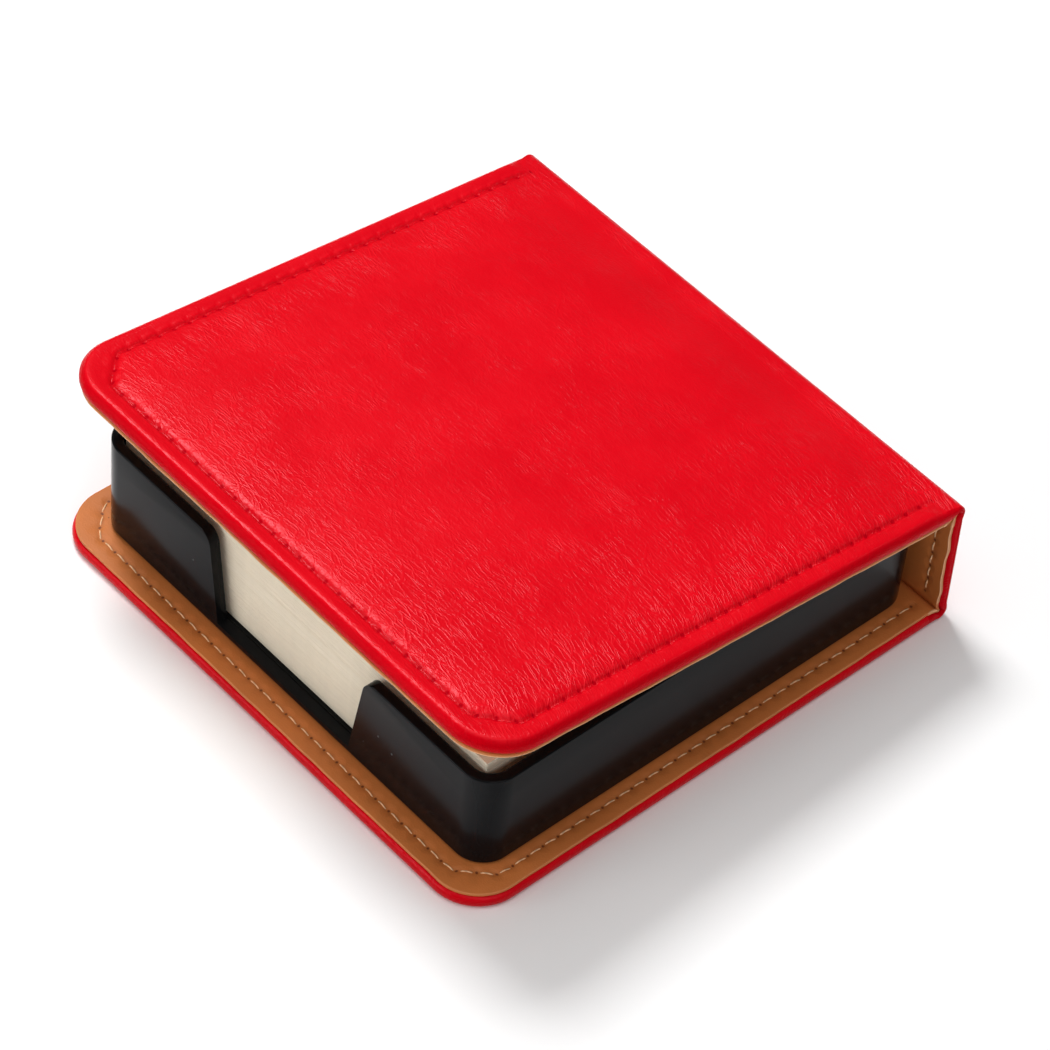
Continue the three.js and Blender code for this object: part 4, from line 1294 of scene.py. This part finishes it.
def spine_row(cover, row, depth, facing, pitch):
    """Stitch places along both ends of the spine."""
    reach = cover.sizes.fold_reach
    last = int((cover.sizes.spine_run - reach) / pitch)
    along = (np.arange(math.ceil(reach / pitch), last) + 0.5) * pitch
    points = np.concatenate([cover.on_spine(side * (cover.half - row), along, depth)
                             for side in (-1, 1)])
    return (points, np.tile((0, *cover.spine_way), (len(points), 1)),
            np.tile((0, *facing), (len(points), 1)))


def make_stitches(scene):
    sizes, stitches = scene.holder_cover, scene.holder_stitches
    cover = Cover(sizes)
    group = stitch_tree()
    base, lid = panel_plans(cover, stitches, FINE_STEPS, FINE_STEPS)
    panel_top = sizes.wrap + sizes.glue_line + sizes.lining
    spine_top = sizes.spine_wrap + sizes.glue_line + sizes.lining
    panels = (
        ("base", "under", SUNK_IN_BASE, panel_top, cover.base_out,
         partial(panel_row, cover.on_base, base)),
        ("lid", "outside", SUNK_IN_LID, panel_top, cover.lid_out,
         partial(panel_row, cover.on_lid, lid)),
        ("spine", "outside", SUNK_IN_SPINE, spine_top, cover.spine_out,
         partial(spine_row, cover, stitches.spine_row)),
    )
    seed = stitches.seed
    for body, outer, depth, top, out, row in panels:
        for side, sunk, facing, material, slot in (
                ("inside", top - SUNK_IN_LINING, -out, "Cream thread", "lining"),
                (outer, depth, out, "Red thread", "cover_leather")):
            name = f"{body}_stitches_{side}"
            mesh = row_mesh(name, *row(sunk, facing, stitches.pitch))
            piece = run_nodes(name, group, mesh, Stitch=stitches.dash, Thread=stitches.thread,
                              Arch=STITCH_ARCH, Seed=seed,
                              Material=bpy.data.materials[material])
            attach(piece, body)
            seed += 1


# Tray


TRAY_TURNS = 14
CUT_SPARE = 2 * MM


def closed_ring(half, middle, corner, inset):
    """A rounded square of points, moved in by an inset."""
    radius = max(corner - inset, 0.6 * MM)
    reach = half - inset - radius
    points = []
    for quarter, (sx, sy) in enumerate(((1, 1), (-1, 1), (-1, -1), (1, -1))):
        for k in range(TRAY_TURNS + 1):
            angle = math.pi / 2 * (quarter + k / TRAY_TURNS)
            points.append((sx * reach + radius * math.cos(angle),
                           middle + sy * reach + radius * math.sin(angle)))
    return points


def arc(x, z, radius, first, last, steps=6):
    return [(x + radius * math.cos(a), z + radius * math.sin(a))
            for a in np.linspace(first, last, steps + 1)]


def tray_body(sizes, middle, half):
    """The moulding without its notch: rings from the foot over the rim to the floor."""
    bottom, rim = TRAY_LOW.z, TRAY_HIGH.z
    foot, round_, lean = sizes.foot_round, sizes.rim_round, -sizes.draft
    rings = [(sizes.foot_width, bottom)]
    rings += arc(foot, bottom + foot, foot, -math.pi / 2, -math.pi)
    rings += [(lean * share, bottom + foot + share * (rim - round_ - bottom - foot))
              for share in (0.25, 0.5, 0.75)]
    rings += arc(lean + round_, rim - round_, round_, math.pi, math.pi / 2)
    rings += arc(lean + sizes.wall - round_, rim - round_, round_, math.pi / 2, 0)
    rings += arc(sizes.wall + sizes.fillet, bottom + sizes.floor + sizes.fillet,
                 sizes.fillet, math.pi, 1.5 * math.pi)
    rings.append((sizes.foot_width, bottom + sizes.foot))
    points = [(x, y, z) for inset, z in rings
              for x, y in closed_ring(half, middle, sizes.corner, inset)]
    loops = np.arange(len(points)).reshape(len(rings), -1)
    faces = [*bands(loops[:-1], closed=True), loops[-2],
             *bands([loops[0], loops[-1]], closed=True), loops[-1]]
    return make_piece("tray_moulding", points, faces)


def notch_cutter(sizes):
    """A solid of the notch's outline: flared sides that round off into the rim."""
    bottom, rim = TRAY_LOW.z, TRAY_HIGH.z
    slope = math.atan2(sizes.flare, rim - bottom - sizes.sill)
    inner = sizes.shoulder * math.tan((math.pi / 2 - slope) / 2)
    centre = sizes.notch / 2 + sizes.flare + inner
    shoulder = arc(centre, rim - sizes.shoulder, sizes.shoulder, math.pi - slope,
                   math.pi / 2, 13)
    right = [(sizes.notch / 2, bottom + sizes.sill), *shoulder, (centre, rim + CUT_SPARE)]
    outline = right + [(-x, z) for x, z in right[::-1]]
    near, far = TRAY_LOW.y - CUT_SPARE, TRAY_LOW.y + sizes.wall + sizes.fillet + CUT_SPARE
    points = [(x, y, z) for y in (near, far) for x, z in outline]
    loops = np.arange(len(points)).reshape(2, -1)
    return make_piece("notch_cut", points, [*loops, *bands(loops, closed=True)])


def make_tray(scene):
    sizes = scene.holder_tray
    tray = tray_body(sizes, (TRAY_LOW.y + TRAY_HIGH.y) / 2,
                     (TRAY_HIGH.x - TRAY_LOW.x) / 2 - sizes.draft)
    cutter = notch_cutter(sizes)
    cut = tray.modifiers.new("Notch", "BOOLEAN")
    cut.operation, cut.solver, cut.object = "DIFFERENCE", "EXACT", cutter
    soften = tray.modifiers.new("Edges", "BEVEL")
    soften.width, soften.segments, soften.limit_method = sizes.edge, 3, "ANGLE"
    soften.angle_limit = math.radians(38)
    result = evaluated_mesh(tray)
    tray.modifiers.clear()
    tray.data = result
    bpy.data.objects.remove(cutter)
    result.shade_smooth()
    result.set_sharp_from_angle(angle=math.radians(32))
    give_finish(tray, "Black plastic")
    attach(tray, "base")
    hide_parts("tray")


# Note sheets, by Geometry Nodes


def sheet_tree():
    """A pile of thin sheets, each slipped a little from the one below."""
    tree = new_group("Geometry", "Sheet pile",
                     {"Geometry": "Geometry", "Side": 0.09, "Sheet": 0.0001, "Sheets": 100,
                      "Shift": 0.00005, "Seed": 0, "Material": "Material"},
                     {"Geometry": "Geometry"})
    side, sheet, shift = (tree.given[name] for name in ("Side", "Sheet", "Shift"))
    line = tree.add("GeometryNodeMeshLine", {"mode": "OFFSET"}, Count=tree.given["Sheets"],
                    Offset=tree.xyz(Z=sheet))[0]
    paper = tree.add("GeometryNodeMeshCube",
                     Size=tree.xyz(X=side, Y=side, Z=tree.times(sheet, 0.97)))[0]
    low = tree.xyz(X=tree.times(shift, -1.0), Y=tree.times(shift, -1.0))
    slip = tree.add("FunctionNodeRandomValue", {"data_type": "FLOAT_VECTOR"}, i0=low,
                    i1=tree.xyz(X=shift, Y=shift), Seed=tree.given["Seed"])[0]
    moved = tree.add("GeometryNodeSetPosition", Geometry=line, Offset=slip)[0]
    placed = tree.add("GeometryNodeInstanceOnPoints", Points=moved, Instance=paper)[0]
    real = tree.add("GeometryNodeRealizeInstances", Geometry=placed)[0]
    tree.finish(Geometry=tree.add("GeometryNodeSetMaterial", Geometry=real,
                                  Material=tree.given["Material"])[0])
    return tree.data


def make_notes(scene):
    sizes = scene.holder_notes
    side = PILE_HIGH.x - PILE_LOW.x
    height = PILE_HIGH.z - PILE_LOW.z
    count = int(height / sizes.sheet)
    mesh = bpy.data.meshes.new("pile_start")
    mesh.from_pydata([(0, 0, 0)], [], [])
    pile = run_nodes("note_sheets", sheet_tree(), mesh, Side=side - 2 * sizes.shift,
                     Sheet=height / count, Sheets=count, Shift=sizes.shift,
                     Seed=sizes.seed, Material=bpy.data.materials["Cream paper"])
    middle = (PILE_LOW + PILE_HIGH) / 2
    lift = PILE_LOW.z + 0.5 * height / count
    pile.data.transform(Matrix.Translation((middle.x, middle.y, lift)))
    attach(pile, "base")
    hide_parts("note_pile")


# What lies inside


def make_inside():
    for node in ("base_board", "spine_board", "lid_board"):
        give_finish(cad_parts[node], "Grey board")
    give_finish(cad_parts["tray_adhesive_pad"], "Foam adhesive")


# Studio


CAMERA_PLACE = (0.34387898, -0.35615511, 0.54073473)
CAMERA_TURN = (0.84257962, 0.34838700, 0.11695336, 0.39371054)
SENSOR = 36.0
FOCAL = 4350.4258 / 1050 * SENSOR
FLOOR_REACH = 3.0
FLOOR_LEVEL = -0.05 * MM
LIGHT_TARGET = Vector((0.0, 0.0, 0.03))

# Name, heading from +X and height in degrees, distance, width and height in metres, power
LIGHTS = (
    ("top_light", -60, 80, 0.95, (0.9, 0.9), 4.0),
    ("left_light", 168, 60, 0.90, (0.30, 0.26), 5.8),
    ("front_light", -110, 18, 0.90, (0.60, 0.24), 2.2),
    ("right_light", -18, 34, 0.90, (0.60, 0.30), 1.3),
    ("back_light", 64, 42, 0.90, (0.30, 0.08), 0.2),
)


def area_light(scene, name, heading, height, distance, size, power):
    """A soft light, placed by where it is seen from the object."""
    data = bpy.data.lights.new(name, "AREA")
    data.shape = "RECTANGLE"
    data.size, data.size_y = size
    data.energy = power
    light = bpy.data.objects.new(name, data)
    turn, rise = math.radians(heading), math.radians(height)
    way = Vector((math.cos(turn) * math.cos(rise), math.sin(turn) * math.cos(rise),
                  math.sin(rise)))
    light.location = way * distance + LIGHT_TARGET
    light.rotation_mode = "QUATERNION"
    light.rotation_quaternion = (-way).to_track_quat("-Z", "Y")
    scene.collection.objects.link(light)


def make_stage(scene):
    studio = scene.holder_studio
    mesh = bpy.data.meshes.new("studio_floor")
    corners = [(x * FLOOR_REACH, y * FLOOR_REACH, FLOOR_LEVEL)
               for x, y in ((-1, -1), (1, -1), (1, 1), (-1, 1))]
    mesh.from_pydata(corners, [], [(0, 1, 2, 3)])
    floor = show("studio_floor", mesh)
    new_material("Pale floor").finish(Base_Color=rgba(studio.floor), Roughness=0.9,
                                      Specular_IOR_Level=0.0)
    floor.data.materials.append(bpy.data.materials["Pale floor"])
    scene.world = bpy.data.worlds.new("Studio")
    scene.world.use_nodes = True
    sky = scene.world.node_tree.nodes["Background"].inputs
    sky["Color"].default_value = (1.0, 1.0, 1.0, 1.0)
    sky["Strength"].default_value = studio.sky
    for light in LIGHTS:
        area_light(scene, *light)
    lens = bpy.data.cameras.new("photo_camera")
    lens.sensor_width, lens.lens = SENSOR, FOCAL
    lens.clip_start, lens.clip_end = 0.01, 20
    camera = bpy.data.objects.new("photo_camera", lens)
    camera.location = CAMERA_PLACE
    camera.rotation_mode = "QUATERNION"
    camera.rotation_quaternion = CAMERA_TURN
    scene.collection.objects.link(camera)
    scene.camera = camera
    scene.view_settings.view_transform = "Standard"


# Operators and panel


class NOTEHOLDER_OT_materials(Operator):
    """Make the leather, lining, thread, plastic and paper finishes"""
    bl_idname = "noteholder.materials"
    bl_label = "Finishes"

    def execute(self, context):
        make_materials(context.scene)
        return {"FINISHED"}


class NOTEHOLDER_OT_leather(Operator):
    """Make the red cover: base, spine, padded lid and the two folds"""
    bl_idname = "noteholder.leather"
    bl_label = "Red cover"

    def execute(self, context):
        make_leather(context.scene)
        return {"FINISHED"}


class NOTEHOLDER_OT_lining(Operator):
    """Make the tan lining of the panels, the spine and the folds"""
    bl_idname = "noteholder.lining"
    bl_label = "Tan lining"

    def execute(self, context):
        make_lining(context.scene)
        return {"FINISHED"}


class NOTEHOLDER_OT_stitches(Operator):
    """Sew the rows of stitches on both faces of the cover"""
    bl_idname = "noteholder.stitches"
    bl_label = "Stitches"

    def execute(self, context):
        make_stitches(context.scene)
        return {"FINISHED"}


class NOTEHOLDER_OT_tray(Operator):
    """Make the moulded tray with its finger notch"""
    bl_idname = "noteholder.tray"
    bl_label = "Tray"

    def execute(self, context):
        make_tray(context.scene)
        return {"FINISHED"}


class NOTEHOLDER_OT_notes(Operator):
    """Stack the loose note sheets"""
    bl_idname = "noteholder.notes"
    bl_label = "Note sheets"

    def execute(self, context):
        make_notes(context.scene)
        return {"FINISHED"}


class NOTEHOLDER_OT_inside(Operator):
    """Finish the boards and the adhesive pad inside"""
    bl_idname = "noteholder.inside"
    bl_label = "Boards and pad"

    def execute(self, context):
        make_inside()
        return {"FINISHED"}


class NOTEHOLDER_OT_stage(Operator):
    """Set up the pale floor, the soft lights and the camera"""
    bl_idname = "noteholder.stage"
    bl_label = "Studio"

    def execute(self, context):
        make_stage(context.scene)
        return {"FINISHED"}


OPERATORS = (
    NOTEHOLDER_OT_materials, NOTEHOLDER_OT_leather, NOTEHOLDER_OT_lining,
    NOTEHOLDER_OT_stitches, NOTEHOLDER_OT_tray, NOTEHOLDER_OT_notes, NOTEHOLDER_OT_inside,
    NOTEHOLDER_OT_stage,
)

SETTINGS = {
    "holder_cover": CoverSizes,
    "holder_stitches": StitchSizes,
    "holder_tray": TraySizes,
    "holder_notes": NoteSizes,
    "holder_finishes": Finishes,
    "holder_studio": StudioSizes,
}


class NOTEHOLDER_PT_panel(Panel):
    bl_idname = "NOTEHOLDER_PT_panel"
    bl_label = "Note Holder"
    bl_space_type = "VIEW_3D"
    bl_region_type = "UI"
    bl_category = "Note Holder"

    def draw(self, context):
        for operator in OPERATORS:
            self.layout.operator(operator.bl_idname)
        for name in SETTINGS:
            settings = getattr(context.scene, name)
            box = self.layout.box()
            for key in settings.__annotations__:
                box.prop(settings, key)


def register():
    for kind in (*SETTINGS.values(), *OPERATORS, NOTEHOLDER_PT_panel):
        bpy.utils.register_class(kind)
    for name, kind in SETTINGS.items():
        setattr(bpy.types.Scene, name, PointerProperty(type=kind))


def unregister():
    for name in SETTINGS:
        delattr(bpy.types.Scene, name)
    for kind in (NOTEHOLDER_PT_panel, *reversed(OPERATORS), *reversed(SETTINGS.values())):
        bpy.utils.unregister_class(kind)


def main():
    register()
    bpy.ops.noteholder.materials()
    bpy.ops.noteholder.leather()
    bpy.ops.noteholder.lining()
    bpy.ops.noteholder.stitches()
    bpy.ops.noteholder.tray()
    bpy.ops.noteholder.notes()
    bpy.ops.noteholder.inside()
    bpy.ops.noteholder.stage()


if __name__ == "__main__":
    main()
